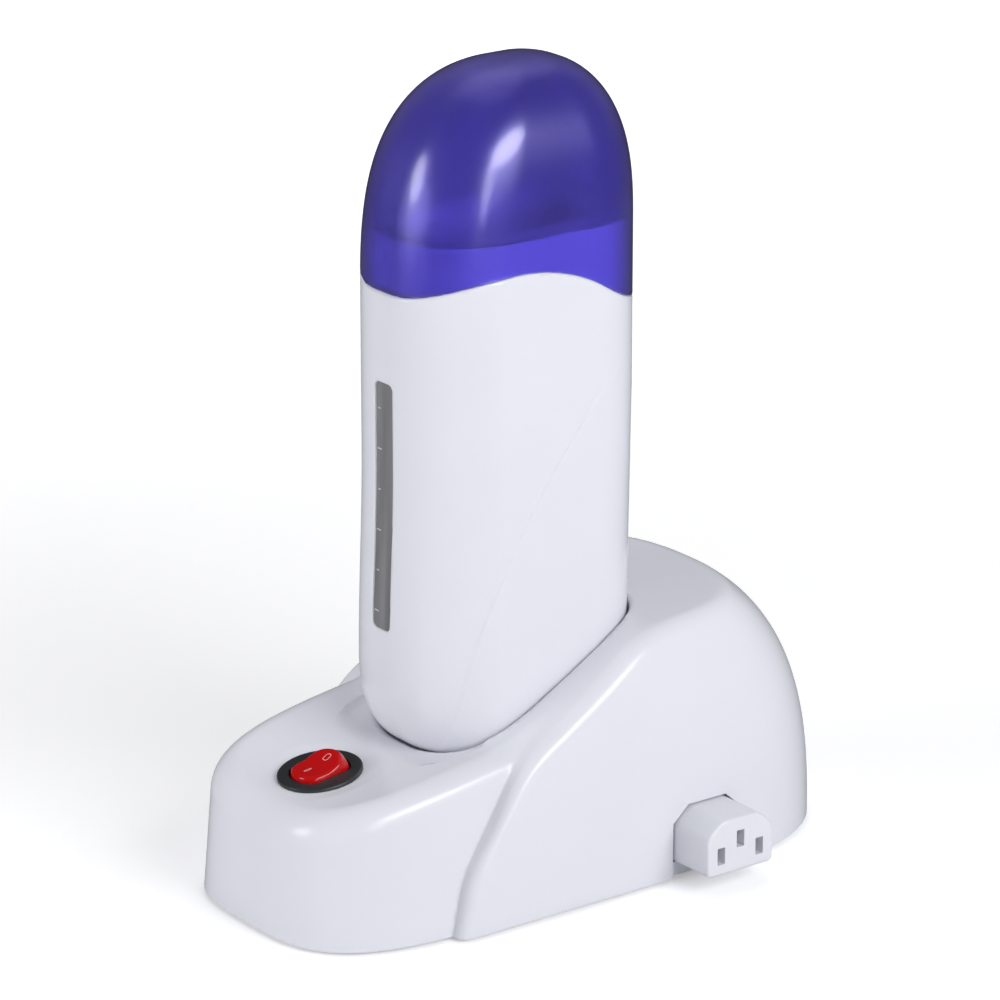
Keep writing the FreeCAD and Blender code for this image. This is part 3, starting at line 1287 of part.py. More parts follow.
# --------------------------------------------------------------------------------------------------
# Handset: bottom plate with its contact pads and screws
# --------------------------------------------------------------------------------------------------
floor_z = size("handset_floor_z")
fit = size("door_gap")
handset_bottom_plate = new_body("handset_bottom_plate")
outline = sketch_on(handset_bottom_plate, "XY_Plane", "plate_outline", floor_z)
draw_rounded_rectangle(outline, door_left + fit, door_right - fit, door_front + fit, door_rear - fit,
                       size("door_corner") - fit)
add_pad(handset_bottom_plate, outline, size("door_thick"), "plate")
seats = sketch_on(handset_bottom_plate, "XY_Plane", "pad_seats_outline", door_top_z)
for side in (-1, 1):
    draw_circle(seats, side * size("contact_half_pitch"), plug_y, size("pad_radius") + size("pin_gap"))
add_pocket(handset_bottom_plate, seats, door_top_z - pad_bottom_z, "pad_seats")
windows = sketch_on(handset_bottom_plate, "XY_Plane", "pad_windows_outline", floor_z)
for side in (-1, 1):
    draw_circle(windows, side * size("contact_half_pitch"), plug_y, size("pad_window_radius"))
add_pocket(handset_bottom_plate, windows, size("door_thick"), "pad_windows", backwards=True)
door_seat_z = floor_z + size("door_screw_recess")
recesses = sketch_on(handset_bottom_plate, "XY_Plane", "screw_recesses_outline", floor_z)
for y in DOOR_SCREWS:
    draw_circle(recesses, 0, y, size("door_screw_head_radius") + size("screw_gap"))
add_pocket(handset_bottom_plate, recesses, size("door_screw_recess"), "screw_recesses", backwards=True)
holes = sketch_on(handset_bottom_plate, "XY_Plane", "plate_holes_outline", floor_z)
for y in DOOR_SCREWS:
    draw_circle(holes, 0, y, size("door_screw_radius") + size("screw_gap"))
add_pocket(handset_bottom_plate, holes, size("door_thick"), "plate_holes", backwards=True)

handset_contact_pads = new_body("handset_contact_pads")
discs = sketch_on(handset_contact_pads, "XY_Plane", "pads_outline", pad_bottom_z)
for side in (-1, 1):
    draw_circle(discs, side * size("contact_half_pitch"), plug_y, size("pad_radius"))
add_pad(handset_contact_pads, discs, size("pad_thick"), "pads")

handset_screws = new_body("handset_screws")
head_low_z = door_seat_z - size("door_screw_head_height")
heads = sketch_on(handset_screws, "XY_Plane", "door_heads_outline", head_low_z)
for y in DOOR_SCREWS:
    draw_circle(heads, 0, y, size("door_screw_head_radius"))
add_pad(handset_screws, heads, size("door_screw_head_height"), "door_heads")
shanks = sketch_on(handset_screws, "XY_Plane", "door_shanks_outline", door_seat_z)
for y in DOOR_SCREWS:
    draw_circle(shanks, 0, y, size("door_screw_radius"))
add_pad(handset_screws, shanks, sleeve_bottom_z - door_seat_z + size("chamber_floor_thick") / 4, "door_shanks")
drives = sketch_on(handset_screws, "XY_Plane", "door_drives_outline", head_low_z)
for y in DOOR_SCREWS:
    draw_cross(drives, 0, y, size("door_drive_length") / 2, size("door_drive_width") / 2)
add_pocket(handset_screws, drives, size("door_drive_depth"), "door_drives", backwards=True)

# --------------------------------------------------------------------------------------------------
# Check and export
# --------------------------------------------------------------------------------------------------
doc.recompute()
for item in doc.Objects:
    if "Invalid" in item.State or "Error" in item.State:
        raise RuntimeError(f"{item.Label} failed: {item.State}")
os.makedirs("parts", exist_ok=True)
for node in nodes:
    if node.Shape.isNull() or not node.Shape.isValid():
        raise RuntimeError(f"{node.Label} has no valid shape")
for node in nodes:
    node.Shape.exportStep(f"parts/{node.Label}.step")
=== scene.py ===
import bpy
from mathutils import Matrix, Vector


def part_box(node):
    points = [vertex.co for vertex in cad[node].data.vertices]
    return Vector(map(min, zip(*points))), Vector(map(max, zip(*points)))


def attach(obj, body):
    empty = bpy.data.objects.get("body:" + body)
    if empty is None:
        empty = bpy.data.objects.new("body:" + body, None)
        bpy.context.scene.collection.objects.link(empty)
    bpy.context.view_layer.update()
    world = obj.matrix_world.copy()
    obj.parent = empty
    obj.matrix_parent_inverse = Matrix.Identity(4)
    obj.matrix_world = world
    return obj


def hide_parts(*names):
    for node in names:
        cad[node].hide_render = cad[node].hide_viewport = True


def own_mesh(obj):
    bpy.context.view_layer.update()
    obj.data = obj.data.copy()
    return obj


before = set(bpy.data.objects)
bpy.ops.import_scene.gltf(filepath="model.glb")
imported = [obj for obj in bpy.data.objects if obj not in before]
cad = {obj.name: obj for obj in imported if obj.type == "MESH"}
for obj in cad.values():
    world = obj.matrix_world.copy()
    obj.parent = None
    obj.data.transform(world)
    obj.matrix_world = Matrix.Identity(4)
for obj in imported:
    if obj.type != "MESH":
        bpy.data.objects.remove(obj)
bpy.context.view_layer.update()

import math

import bpy
import numpy as np
from mathutils import Matrix, Quaternion, Vector

scene = bpy.context.scene
MM = 0.001

# --------------------------------------------------------------------------------------------------
# Studio. A pale table under a long lens, in a white room. Three oval windows light the pieces, from the
# right, the left and behind, and five more show only as sheens in their gloss.
# --------------------------------------------------------------------------------------------------
CAMERA_AROUND, CAMERA_ABOVE, CAMERA_AWAY = 53.495, 18.822, 1.43871
CAMERA_AIM = Vector((-0.00414, -0.00422, 0.10749))
LAMP_AIM = Vector((0.0, 0.0, 0.14))


def direction(around, above):
    """A direction in degrees: from -Y round towards +X, and up from the table."""
    around, above = math.radians(around), math.radians(above)
    level = math.cos(above)
    return Vector((math.sin(around) * level, -math.cos(around) * level, math.sin(above)))


def set_down(name, data):
    """A new object that holds some data, linked into the scene."""
    made = bpy.data.objects.new(name, data)
    scene.collection.objects.link(made)
    return made


back = direction(CAMERA_AROUND, CAMERA_ABOVE)
right = direction(CAMERA_AROUND + 90.0, 0.0)
lens = bpy.data.cameras.new("camera")
lens.lens = 180.0
lens.sensor_width = 36.0
lens.clip_start = 0.05
lens.clip_end = 30.0
camera = set_down("camera", lens)
camera.matrix_world = Matrix((right, back.cross(right), back)).transposed().to_4x4()
camera.location = CAMERA_AIM + back * CAMERA_AWAY
scene.camera = camera


def soft_window(name, around, above, away, width, height, radiance, tilt=0.0):
    """An oval soft light that faces the heater from a direction, with its sizes and distance in metres.

    A fill only lights the pieces, and a sheen only shows in their gloss.
    """
    towards = direction(around, above)
    lamp = bpy.data.lights.new(name, "AREA")
    lamp.shape = "ELLIPSE"
    lamp.size = width
    lamp.size_y = height
    lamp.energy = radiance * math.pi * width * height * math.pi / 4
    holder = set_down(name, lamp)
    holder.location = LAMP_AIM + towards * away
    roll = Quaternion((0.0, 0.0, 1.0), math.radians(tilt))
    holder.rotation_euler = (towards.to_track_quat("Z", "Y") @ roll).to_euler()
    holder.visible_glossy = "fill" not in name
    holder.visible_diffuse = "sheen" not in name


# The angles are in degrees, then come the distance, the width and the height, and the radiance.
soft_window("main_fill", 97.0, 27.0, 1.2, 1.00, 0.95, 4.3)
soft_window("front_fill", -18.0, 8.0, 1.1, 0.80, 0.45, 5.6)
soft_window("rear_fill", -120.0, 63.0, 1.2, 0.85, 1.45, 1.1)
soft_window("main_sheen", 95.0, 19.0, 1.25, 1.50, 0.95, 0.55)
soft_window("core_sheen", 95.0, 31.0, 1.2, 0.90, 0.46, 8.6)
soft_window("edge_sheen", 73.0, 13.0, 1.2, 0.26, 0.64, 4.5)
soft_window("side_sheen", -26.0, 20.0, 1.1, 0.32, 0.42, 7.0, 35.0)
soft_window("rear_sheen", -115.0, 59.0, 1.2, 1.15, 0.50, 0.18)

room = bpy.data.worlds.new("white_room")
room.use_nodes = True
scene.world = room
ROOM_STRENGTHS = {"Is Glossy Ray": 0.03, "Is Transmission Ray": 0.45, "Is Camera Ray": 1.0}
rays = room.node_tree.nodes.new("ShaderNodeLightPath")
sky = room.node_tree.nodes["Background"]
for ray, strength in ROOM_STRENGTHS.items():
    other = room.node_tree.nodes.new("ShaderNodeBackground")
    other.inputs["Color"].default_value = (1.0, 1.0, 1.0, 1.0)
    other.inputs["Strength"].default_value = strength
    choice = room.node_tree.nodes.new("ShaderNodeMixShader")
    room.node_tree.links.new(rays.outputs[ray], choice.inputs[0])
    room.node_tree.links.new(sky.outputs[0], choice.inputs[1])
    room.node_tree.links.new(other.outputs[0], choice.inputs[2])
    sky = choice
sky_light = room.node_tree.nodes["Background"]
sky_light.inputs["Color"].default_value = (0.96, 0.965, 1.0, 1.0)
sky_light.inputs["Strength"].default_value = 0.30
room.node_tree.links.new(sky.outputs[0], room.node_tree.nodes["World Output"].inputs[0])
scene.view_settings.view_transform = "Standard"


class Value:
    """A socket's value in a material, on which plain arithmetic adds Math nodes."""

    def __init__(self, finish, socket):
        self.finish = finish
        self.socket = socket

    def maths(self, operation, *others):
        operands = {place: item for place, item in enumerate((self, *others))}
        return self.finish.node("ShaderNodeMath", {"operation": operation}, operands)

    def __add__(self, other):
        return self.maths("ADD", other)

    __radd__ = __add__

    def __sub__(self, other):
        return self.maths("SUBTRACT", other)

    def __rsub__(self, other):
        return (self * -1.0) + other

    def __mul__(self, other):
        return self.maths("MULTIPLY", other)

    __rmul__ = __mul__


class Finish:
    """A material: constants on the surface shader's sockets, and nodes that come from one method."""

    def __init__(self, name, **constants):
        self.material = bpy.data.materials.new(name)
        self.material.use_nodes = True
        self.tree = self.material.node_tree
        self.surface = self.tree.nodes["Principled BSDF"]
        for socket, value in constants.items():
            value = (*value, 1.0) if isinstance(value, tuple) else value
            self.surface.inputs[socket.replace("_", " ")].default_value = value
        place = self.tree.nodes.new("ShaderNodeTexCoord")
        self.place = Value(self, place.outputs["Object"])

    def node(self, kind, settings=None, inputs=None, output=0):
        made = self.tree.nodes.new(kind)
        for key, setting in (settings or {}).items():
            setattr(made, key, setting)
        for key, item in (inputs or {}).items():
            if isinstance(item, Value):
                self.tree.links.new(item.socket, made.inputs[key])
            elif isinstance(item, tuple) and made.inputs[key].type == "RGBA":
                made.inputs[key].default_value = (*item, 1.0)
            else:
                made.inputs[key].default_value = item
        return Value(self, made.outputs[output])

    def noise(self, scale, detail=2.0, stretch=None):
        """Cloudy noise between 0 and 1, at so many cells in a metre."""
        where = self.place
        if stretch:
            where = self.node("ShaderNodeVectorMath", {"operation": "MULTIPLY"}, {0: where, 1: stretch})
        return self.node("ShaderNodeTexNoise", None, {"Vector": where, "Scale": scale, "Detail": detail})

    def shade(self, factor, low, high):
        """A colour between two, by a factor."""
        return self.node("ShaderNodeMix", {"data_type": "RGBA"}, {0: factor, 6: low, 7: high}, output=2)

    def feed(self, **sockets):
        for socket, item in sockets.items():
            self.tree.links.new(item.socket, self.surface.inputs[socket.replace("_", " ")])
        return self

    def grain(self, height, strength, distance):
        """Relief from a height, as a bump on the surface's normal."""
        sockets = {"Height": height, "Strength": strength, "Distance": distance}
        return self.feed(Normal=self.node("ShaderNodeBump", None, sockets))


def dress(piece, finish):
    """Gives a piece, or a CAD node, one finish all over."""
    if not piece.material_slots:
        piece.data.materials.append(finish.material)
    for place in piece.material_slots:
        place.material = finish.material
    return piece


DRIFT_SCALE, FLOW_SCALE, SKIN_SCALE, RIPPLE_HEIGHT = 38.0, 420.0, 1500.0, 0.04 * MM


def moulded_plastic(name, low, high, roughness, spread, ripple, **constants):
    """Moulded plastic: a faint drift of shade, flow marks in its gloss and a slightly rippled skin."""
    finish = Finish(name, **constants)
    drift = finish.noise(DRIFT_SCALE, 3.0)
    flow = finish.noise(FLOW_SCALE, 2.0)
    skin = finish.noise(SKIN_SCALE, 1.0)
    gloss = flow * spread + (roughness - spread / 2)
    finish.feed(Base_Color=finish.shade(drift, low, high), Roughness=gloss)
    return finish.grain(skin + flow * 2.0, ripple, RIPPLE_HEIGHT)


floor_mesh = bpy.data.meshes.new("table_top")
HALF_TABLE = 6.0
table_corners = [(HALF_TABLE * x, HALF_TABLE * y, 0.0) for x, y in ((-1, -1), (1, -1), (1, 1), (-1, 1))]
floor_mesh.from_pydata(table_corners, [], [(0, 1, 2, 3)])
table_top = set_down("table_top", floor_mesh)
table_paint = Finish("table_paint", Roughness=0.6, Specular_IOR_Level=0.1, Emission_Strength=1.0)
mottle = table_paint.noise(3.0)
seen = table_paint.node("ShaderNodeLightPath", output="Is Camera Ray")
lit = seen + table_paint.node("ShaderNodeLightPath", output="Is Diffuse Ray")
through = table_paint.node("ShaderNodeLightPath", output="Is Transmission Ray")
dimmed = table_paint.shade(through, (0.05, 0.05, 0.05), (0.60, 0.60, 0.61))
paper = table_paint.shade(mottle, (0.91, 0.91, 0.92), (0.93, 0.93, 0.94))
away = table_paint.node("ShaderNodeVectorMath", {"operation": "LENGTH"}, {0: table_paint.place}, output=1)
GLOW_FROM, GLOW_TO = 0.15, 1.1
far = table_paint.node(
    "ShaderNodeMapRange", {"interpolation_type": "SMOOTHSTEP"}, {"Value": away, 1: GLOW_FROM, 2: GLOW_TO},
)
glow = table_paint.shade(far, (0.31, 0.31, 0.31), (0.85, 0.85, 0.85))
table_paint.feed(
    Base_Color=table_paint.shade(lit, dimmed, paper),
    Emission_Color=table_paint.shade(seen, (0.0, 0.0, 0.0), glow),
)
dress(table_top, table_paint)

# --------------------------------------------------------------------------------------------------
# Base housing. One injection moulding in glossy white ABS: the hump behind, the hollow switch deck in
# front and the cradle sunk between them. Its skin is worked out from rounded joins of its surfaces, in
# millimetres: each function gives the depth under a surface, below 0 inside.
# --------------------------------------------------------------------------------------------------
SHELL_FOOT = 1.0
SHELL_WALL = 2.5


def rounded_meet(a, b, radius):
    """Where both depths are below 0, with the edge between them rounded."""
    corner = np.hypot(np.maximum(a + radius, 0), np.maximum(b + radius, 0))
    return np.minimum(np.maximum(a, b), -radius) + corner


def blended_join(a, b, reach):
    """Where either depth is below 0, with a soft hollow between them."""
    gap = np.maximum(reach - np.abs(a - b), 0)
    return np.minimum(a, b) - gap * gap / (4 * reach)


def blended_meet(a, b, reach):
    """Where both depths are below 0, with the ridge between them flattened."""
    return -blended_join(-a, -b, reach)


def filleted_meet(first, second, radius, *spot):
    """Where both depths are below 0, with a true fillet along the edge between them, whatever its angle."""
    reach = 0.2
    depths, leans = [], []
    for depth in (first, second):
        here = depth(*spot)
        nearby = [[along + reach * (side == axis) for side, along in enumerate(spot)] for axis in range(3)]
        lean = [depth(*place) - here for place in nearby]
        steep = np.maximum(np.sqrt(lean[0] ** 2 + lean[1] ** 2 + lean[2] ** 2), 1e-6)
        depths.append(reach * here / steep + radius)
        leans.append([part / steep for part in lean])
    across = np.clip(sum(one * other for one, other in zip(*leans)), -0.95, 0.95)
    one, other = depths
    square = np.maximum(one * one + other * other - 2 * across * one * other, 0)
    arc = np.sqrt(square / (1 - across * across))
    return np.where((one > across * other) & (other > across * one), arc, np.maximum(one, other)) - radius


def eased(value, start, end):
    """0 before the start, 1 after the end and a smooth step between."""
    share = np.clip((value - start) / (end - start), 0, 1)
    return share * share * (3 - 2 * share)


def long_plan(x, along, half_width, length, power):
    """Depth of a plan with straight sides and a rounded end at along = length."""
    across = np.abs(x) / half_width
    ahead = np.maximum(along, 0) / length
    size = np.maximum((across**power + ahead**power) ** (1 / power), 1e-6)
    slope = np.hypot((across / size) ** (power - 1) / half_width, (ahead / size) ** (power - 1) / length)
    return (size - 1) / slope


HUMP_SIDE = [(-56.0, 0.0), (-51.5, 18.0), (-31.5, 48.0), (14.5, 75.0), (62.0, 79.6)]
HUMP_BENDS = [30.0, 40.0, 40.0]


def hump_side_depth(x, y, z):
    """Depth under the side view's line, with its corners bent to their radii."""
    runs = [np.subtract(after, before) for before, after in zip(HUMP_SIDE, HUMP_SIDE[1:])]
    runs = [run / np.hypot(*run) for run in runs]
    depths = [(y - spot[0]) * -run[1] + (z - spot[1]) * run[0] for spot, run in zip(HUMP_SIDE, runs)]
    depth = depths[0]
    for next_depth, before, after, radius in zip(depths[1:], runs, runs[1:], HUMP_BENDS):
        bend = abs(math.atan2(before[1], before[0]) - math.atan2(after[1], after[0]))
        depth = blended_meet(depth, next_depth, radius * math.tan(bend / 2) * math.sin(bend))
    return depth


HUMP_MIDDLE, HUMP_HALF_WIDTH, HUMP_LENGTH, HUMP_POWER = 35.6, 47.8, 58.0, 2.4
HUMP_TOP, SIDES_MEET, REAR_MEETS = 85.0, 92.0, 87.0
HUMP_EDGE, HUMP_EDGE_GROWTH = 2.9, 3.6


def hump_walls(x, y, z):
    """Level depth inside the hump's side and rear walls, which lean in towards the top."""
    low = np.clip(z, 0, HUMP_TOP)
    half_width = HUMP_HALF_WIDTH * (1 - (low / SIDES_MEET) ** 4) ** (1 / 3)
    length = HUMP_LENGTH * (1 - (low / REAR_MEETS) ** 2.4) ** 0.55
    return long_plan(x, y - HUMP_MIDDLE, half_width, length, HUMP_POWER)


def hump_depth(x, y, z):
    """The rear hump: a dome in plan whose front and top follow the side view, with a softer edge above."""
    radius = HUMP_EDGE + HUMP_EDGE_GROWTH * eased(z, 30.0, 70.0)
    return filleted_meet(hump_walls, hump_side_depth, radius, x, y, z)


DECK_SPOT = (-70.8, 40.3)
DECK_TURN = math.radians(8.7)
DECK_RADIUS = 165.0
LEDGE_DROP, LEDGE_EDGE = 1.2, 3.0
LEDGE_Y = [-54.0, -49.0, -42.6, -34.4, -27.4, -15.0]
LEDGE_HALF_WIDTH = [20.0, 23.5, 26.6, 27.4, 25.6, 20.0]


def deck_depth(x, y, z):
    """Height over the switch deck: hollow from side to side, flat at the switch, and sunk by the cradle.

    The sunk ledge runs out in a curved crease on either side of the cradle's mouth.
    """
    hollow = x * x / (2 * DECK_RADIUS) * eased(np.hypot(x, y - DECK_SPOT[0]), 11.5, 18.0)
    crease = np.interp(y, LEDGE_Y, LEDGE_HALF_WIDTH)
    inside = np.clip((crease - np.abs(x)) / LEDGE_EDGE, 0, 1)
    hollow = hollow - LEDGE_DROP * eased(y, -53.0, -43.0) * inside * (2 - inside)
    return (z - DECK_SPOT[1] - hollow) * math.cos(DECK_TURN) - (y - DECK_SPOT[0]) * math.sin(DECK_TURN)


NOSE_MIDDLE, NOSE_HALF_WIDTH, NOSE_LENGTH, NOSE_POWER = -29.5, 43.8, 67.5, 3.5
NOSE_DRAFT = math.radians(4.0)
NOSE_BACK = 0.5
NOSE_RIM = 8.0


def nose_depth(x, y, z):
    """The nose with its drafted walls and softly rounded rim."""
    draft = (z - SHELL_FOOT) * math.tan(NOSE_DRAFT)
    plan = long_plan(x, NOSE_MIDDLE - y, NOSE_HALF_WIDTH - draft, NOSE_LENGTH - draft, NOSE_POWER)
    plan = np.maximum(plan, y - NOSE_BACK)
    return rounded_meet(plan, deck_depth(x, y, z), NOSE_RIM)


CREASE_REACH, HOLLOW_REACH = 0.7, 5.5


def base_outside(x, y, z):
    """Hump and nose as one form: a crisp crease down the sides and a soft hollow on top."""
    reach = CREASE_REACH + HOLLOW_REACH * (1 - eased(np.abs(x), 33.0, 41.0)) * eased(z, 36.0, 44.0)
    return blended_join(hump_depth(x, y, z), nose_depth(x, y, z), reach)


def rounded_oblong(x, y, half_width, front, rear, corner):
    """Depth of an upright rounded rectangle."""
    across = np.abs(x) - half_width + corner
    along = np.abs(y - (front + rear) / 2) - (rear - front) / 2 + corner
    outside = np.hypot(np.maximum(across, 0), np.maximum(along, 0))
    return outside + np.minimum(np.maximum(across, along), 0) - corner


HANDSET_HALF_WIDTH, HANDSET_FRONT, HANDSET_REAR = 27.7, -47.8, 31.1
HANDSET_FOOT, TUCK_TOP, BEND_TOP, TAPER_TOP = 42.0, 66.7, 128.0, 143.0
TUCK_SIDE, TUCK_FRONT, TUCK_REAR, BEND_FRONT = 4.6, 11.4, 6.0, 1.8
REAR_TAPER = math.radians(1.0)
APEX_HEIGHT, APEX_Y, DOME_POWER = 239.6, -0.4, 2.49
DOME_SIDE, DOME_FRONT, DOME_REAR = 200.0, 176.1, 191.3


def dome_share(z, start, apex):
    """How much of a radius is left at a height of the cap's dome."""
    climb = np.clip((z - start) / (apex - start), 0, 1)
    return (1 - climb**DOME_POWER) ** (1 / DOME_POWER)


def heater_outline(x, y, z, inset=0.0):
    """Depth of the handset with its cap, seen level by level, drawn in by an inset.

    The foot is tucked in all round like a quarter of an oval, the front bends out a little above it, and
    the dome closes later at the sides than in front.
    """
    bend = 1 - eased(z, TUCK_TOP, BEND_TOP)
    tuck = np.clip((TUCK_TOP - z) / (TUCK_TOP - HANDSET_FOOT), 0, 1)
    tuck = 1 - np.sqrt(np.maximum(1 - tuck * tuck, 0))
    half_width = HANDSET_HALF_WIDTH - TUCK_SIDE * tuck - inset
    front = HANDSET_FRONT - BEND_FRONT * bend + TUCK_FRONT * tuck + inset
    rear = HANDSET_REAR - np.maximum(TAPER_TOP - z, 0) * math.tan(REAR_TAPER) - TUCK_REAR * tuck - inset
    apex = APEX_HEIGHT - inset
    half_width = half_width * dome_share(z, DOME_SIDE, apex)
    front = APEX_Y + (front - APEX_Y) * dome_share(z, DOME_FRONT, apex)
    rear = APEX_Y + (rear - APEX_Y) * dome_share(z, DOME_REAR, apex)
    corner = np.maximum((half_width + inset) * 0.88 - inset, 0.3 * half_width)
    return rounded_oblong(x, y, half_width, front, rear, corner)


SOCKET_Y, SOCKET_HALF_WIDTH, SOCKET_BELOW, SOCKET_ABOVE = 32.0, 12.0, 5.9, 10.6
SOCKET_CUT = (5.2, 4.6)
OUTLET_LINE, INLET_LINE = 11.9, 14.6
SOCKET_WALL_X = 42.0


def socket_slant(flank, rise_over):
    """Depth under a socket's slanted corner, from the depths of the side and the top that it cuts."""
    width, height = SOCKET_CUT
    return (flank * height + rise_over * width + width * height) / math.hypot(width, height)


def socket_shape(y, z, line, margin):
    """Depth of an appliance socket's outline: flat below, with two slanted corners above."""
    flank = np.abs(y - SOCKET_Y) - SOCKET_HALF_WIDTH
    above, below = z - line - SOCKET_ABOVE, line - SOCKET_BELOW - z
    return np.maximum(np.maximum(flank, np.maximum(above, below)), socket_slant(flank, above)) - margin


CRADLE_GAP, CRADLE_FLOOR, CRADLE_LIP = 0.8, 41.7, 0.9
TUB_GAP, TUB_FLOOR = 3.0, 39.5
SWITCH_HOLE_RADIUS, SWITCH_HOLE_REACH = 10.1, 8.0
OUTLET_GAP, INLET_GAP, NOTCH_TOP = 0.4, 2.5, 12.0
PORT_SPOT, PORT_RADIUS, PORT_Z, PORT_REACH = (8.0, -7.4), 1.9, 40.5, 4.0


def base_housing_depth(x, y, z):
    """The finished moulding: hollow, with the cradle's tub, the switch hole and the two socket openings."""
    outside = base_outside(x, y, z)
    cradle_drop, tub_drop = HANDSET_FOOT - CRADLE_FLOOR, HANDSET_FOOT - TUB_FLOOR
    cradle = np.maximum(heater_outline(x, y, z + cradle_drop, -CRADLE_GAP), CRADLE_FLOOR - z)
    tub = np.maximum(heater_outline(x, y, z + tub_drop, -TUB_GAP), TUB_FLOOR - z)
    hollow = np.maximum(outside + SHELL_WALL, -tub)
    solid = np.maximum(rounded_meet(outside, -cradle, CRADLE_LIP), SHELL_FOOT - z)
    solid = np.maximum(solid, -hollow)
    along = (y - DECK_SPOT[0]) * math.cos(DECK_TURN) + (z - DECK_SPOT[1]) * math.sin(DECK_TURN)
    above = (z - DECK_SPOT[1]) * math.cos(DECK_TURN) - (y - DECK_SPOT[0]) * math.sin(DECK_TURN)
    switch_hole = np.maximum(np.hypot(x, along) - SWITCH_HOLE_RADIUS, np.abs(above) - SWITCH_HOLE_REACH)
    notch = np.abs(y - SOCKET_Y) - SOCKET_HALF_WIDTH - OUTLET_GAP
    outlet_hole = np.where(z < NOTCH_TOP, notch, socket_shape(y, z, OUTLET_LINE, OUTLET_GAP))
    inlet_hole = socket_shape(y, z, INLET_LINE, INLET_GAP)
    port = np.hypot(np.abs(x) - PORT_SPOT[0], y - PORT_SPOT[1]) - PORT_RADIUS
    cuts = (
        switch_hole,
        np.maximum(outlet_hole, SOCKET_WALL_X - x),
        np.maximum(inlet_hole, x + SOCKET_WALL_X),
        np.maximum(port, np.abs(z - PORT_Z) - PORT_REACH),
    )
    for cut in cuts:
        solid = np.maximum(solid, -cut)
    return solid


def slopes(depth, spots, step=0.02):
    """Unit normals of a depth field at some points."""
    shifts = np.eye(3) * step
    found = np.stack([depth(*(spots + shift).T) - depth(*(spots - shift).T) for shift in shifts], axis=-1)
    return found / np.maximum(np.linalg.norm(found, axis=-1, keepdims=True), 1e-12)


HALVINGS = 12
STEADINESS = 0.06
CRISP_ANGLE = math.radians(20.0)


def moulded_skin(name, depth, low, high, step):
    """A closed mesh of the surface where a depth field is 0.

    Each cell of a grid that the surface crosses gets one point, set where the planes at its crossed edges
    meet, so that creases stay crisp. Depths and sizes are in millimetres, and the mesh is in metres.
    """
    origin = np.array(low, float) - 1.5 * step
    counts = np.ceil((np.array(high) + 1.5 * step - origin) / step).astype(int) + 1
    grid = np.stack(np.meshgrid(*[np.arange(count) for count in counts], indexing="ij"), axis=-1)
    inside = depth(*np.moveaxis(origin + grid * step, -1, 0)) < 0
    cells = counts - 1
    strides = np.array([cells[1] * cells[2], cells[2], 1])
    spots, planes, owners, quads = [], [], [], []
    for axis in range(3):
        here = np.take(inside, range(counts[axis] - 1), axis)
        there = np.take(inside, range(1, counts[axis]), axis)
        edges = np.argwhere(here != there)
        leaving = here[tuple(edges.T)]
        near, far = origin + edges * step, origin + (edges + np.eye(3, dtype=int)[axis]) * step
        inner = np.where(leaving[:, None], near, far)
        outer = np.where(leaving[:, None], far, near)
        for _ in range(HALVINGS):
            half = (inner + outer) / 2
            held = (depth(*half.T) < 0)[:, None]
            inner, outer = np.where(held, half, inner), np.where(held, outer, half)
        crossing = (inner + outer) / 2
        second, third = np.eye(3, dtype=int)[(axis + 1) % 3], np.eye(3, dtype=int)[(axis + 2) % 3]
        ring = [(edges - shift) @ strides for shift in (second + third, third, 0 * third, second)]
        spots += [crossing] * 4
        planes += [slopes(depth, crossing)] * 4
        owners += ring
        ring = np.stack(ring, axis=-1)
        quads.append(np.where(leaving[:, None], ring, ring[:, ::-1]))
    spots, planes, owners, quads = (np.concatenate(item) for item in (spots, planes, owners, quads))
    used, owner = np.unique(owners, return_inverse=True)
    total = np.bincount(owner)[:, None]
    middle = np.stack([np.bincount(owner, spots[:, axis]) for axis in range(3)], axis=-1) / total
    pull = np.einsum("ij,ij->i", planes, spots - middle[owner])
    right_side = np.stack([np.bincount(owner, planes[:, axis] * pull) for axis in range(3)], axis=-1)
    square = np.empty((len(used), 3, 3))
    for row in range(3):
        for column in range(3):
            square[:, row, column] = np.bincount(owner, planes[:, row] * planes[:, column])
    square += STEADINESS * total[:, :, None] * np.eye(3)
    points = middle + np.linalg.solve(square, right_side[:, :, None])[:, :, 0]
    corner = origin + np.stack(np.unravel_index(used, cells), axis=-1) * step
    points = np.clip(points, corner, corner + step)
    faces = np.searchsorted(used, quads)
    smooth = slopes(depth, points)
    centres = points[faces].mean(axis=1, keepdims=True)
    leaning = points[faces] + 0.3 * (centres - points[faces])
    own = slopes(depth, leaning.reshape(-1, 3)).reshape(-1, 4, 3)
    agree = np.einsum("ijk,ijk->ij", own, smooth[faces]) > math.cos(CRISP_ANGLE)
    crisp = np.zeros(len(used), bool)
    crisp[faces[~agree]] = True
    normals = np.where(crisp[faces][:, :, None], own, smooth[faces])
    mesh = bpy.data.meshes.new(name)
    mesh.from_pydata((points * MM).tolist(), [], faces.tolist())
    mesh.shade_smooth()
    mesh.normals_split_custom_set(normals.reshape(-1, 3).tolist())
    return set_down(name, mesh)


glossy_white = moulded_plastic(
    "glossy_white", (0.755, 0.765, 0.83), (0.785, 0.793, 0.852), roughness=0.22, spread=0.04,
    ripple=0.10, IOR=1.5, Specular_IOR_Level=0.26, Coat_Weight=0.08, Coat_Roughness=0.10,
)
base_housing = moulded_skin(
    "base_housing", base_housing_depth, low=(-47.9, -97.0, SHELL_FOOT), high=(47.9, 93.7, 79.0), step=1.25,
)
dress(base_housing, glossy_white)
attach(base_housing, "base")
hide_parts("base_upper_shell")

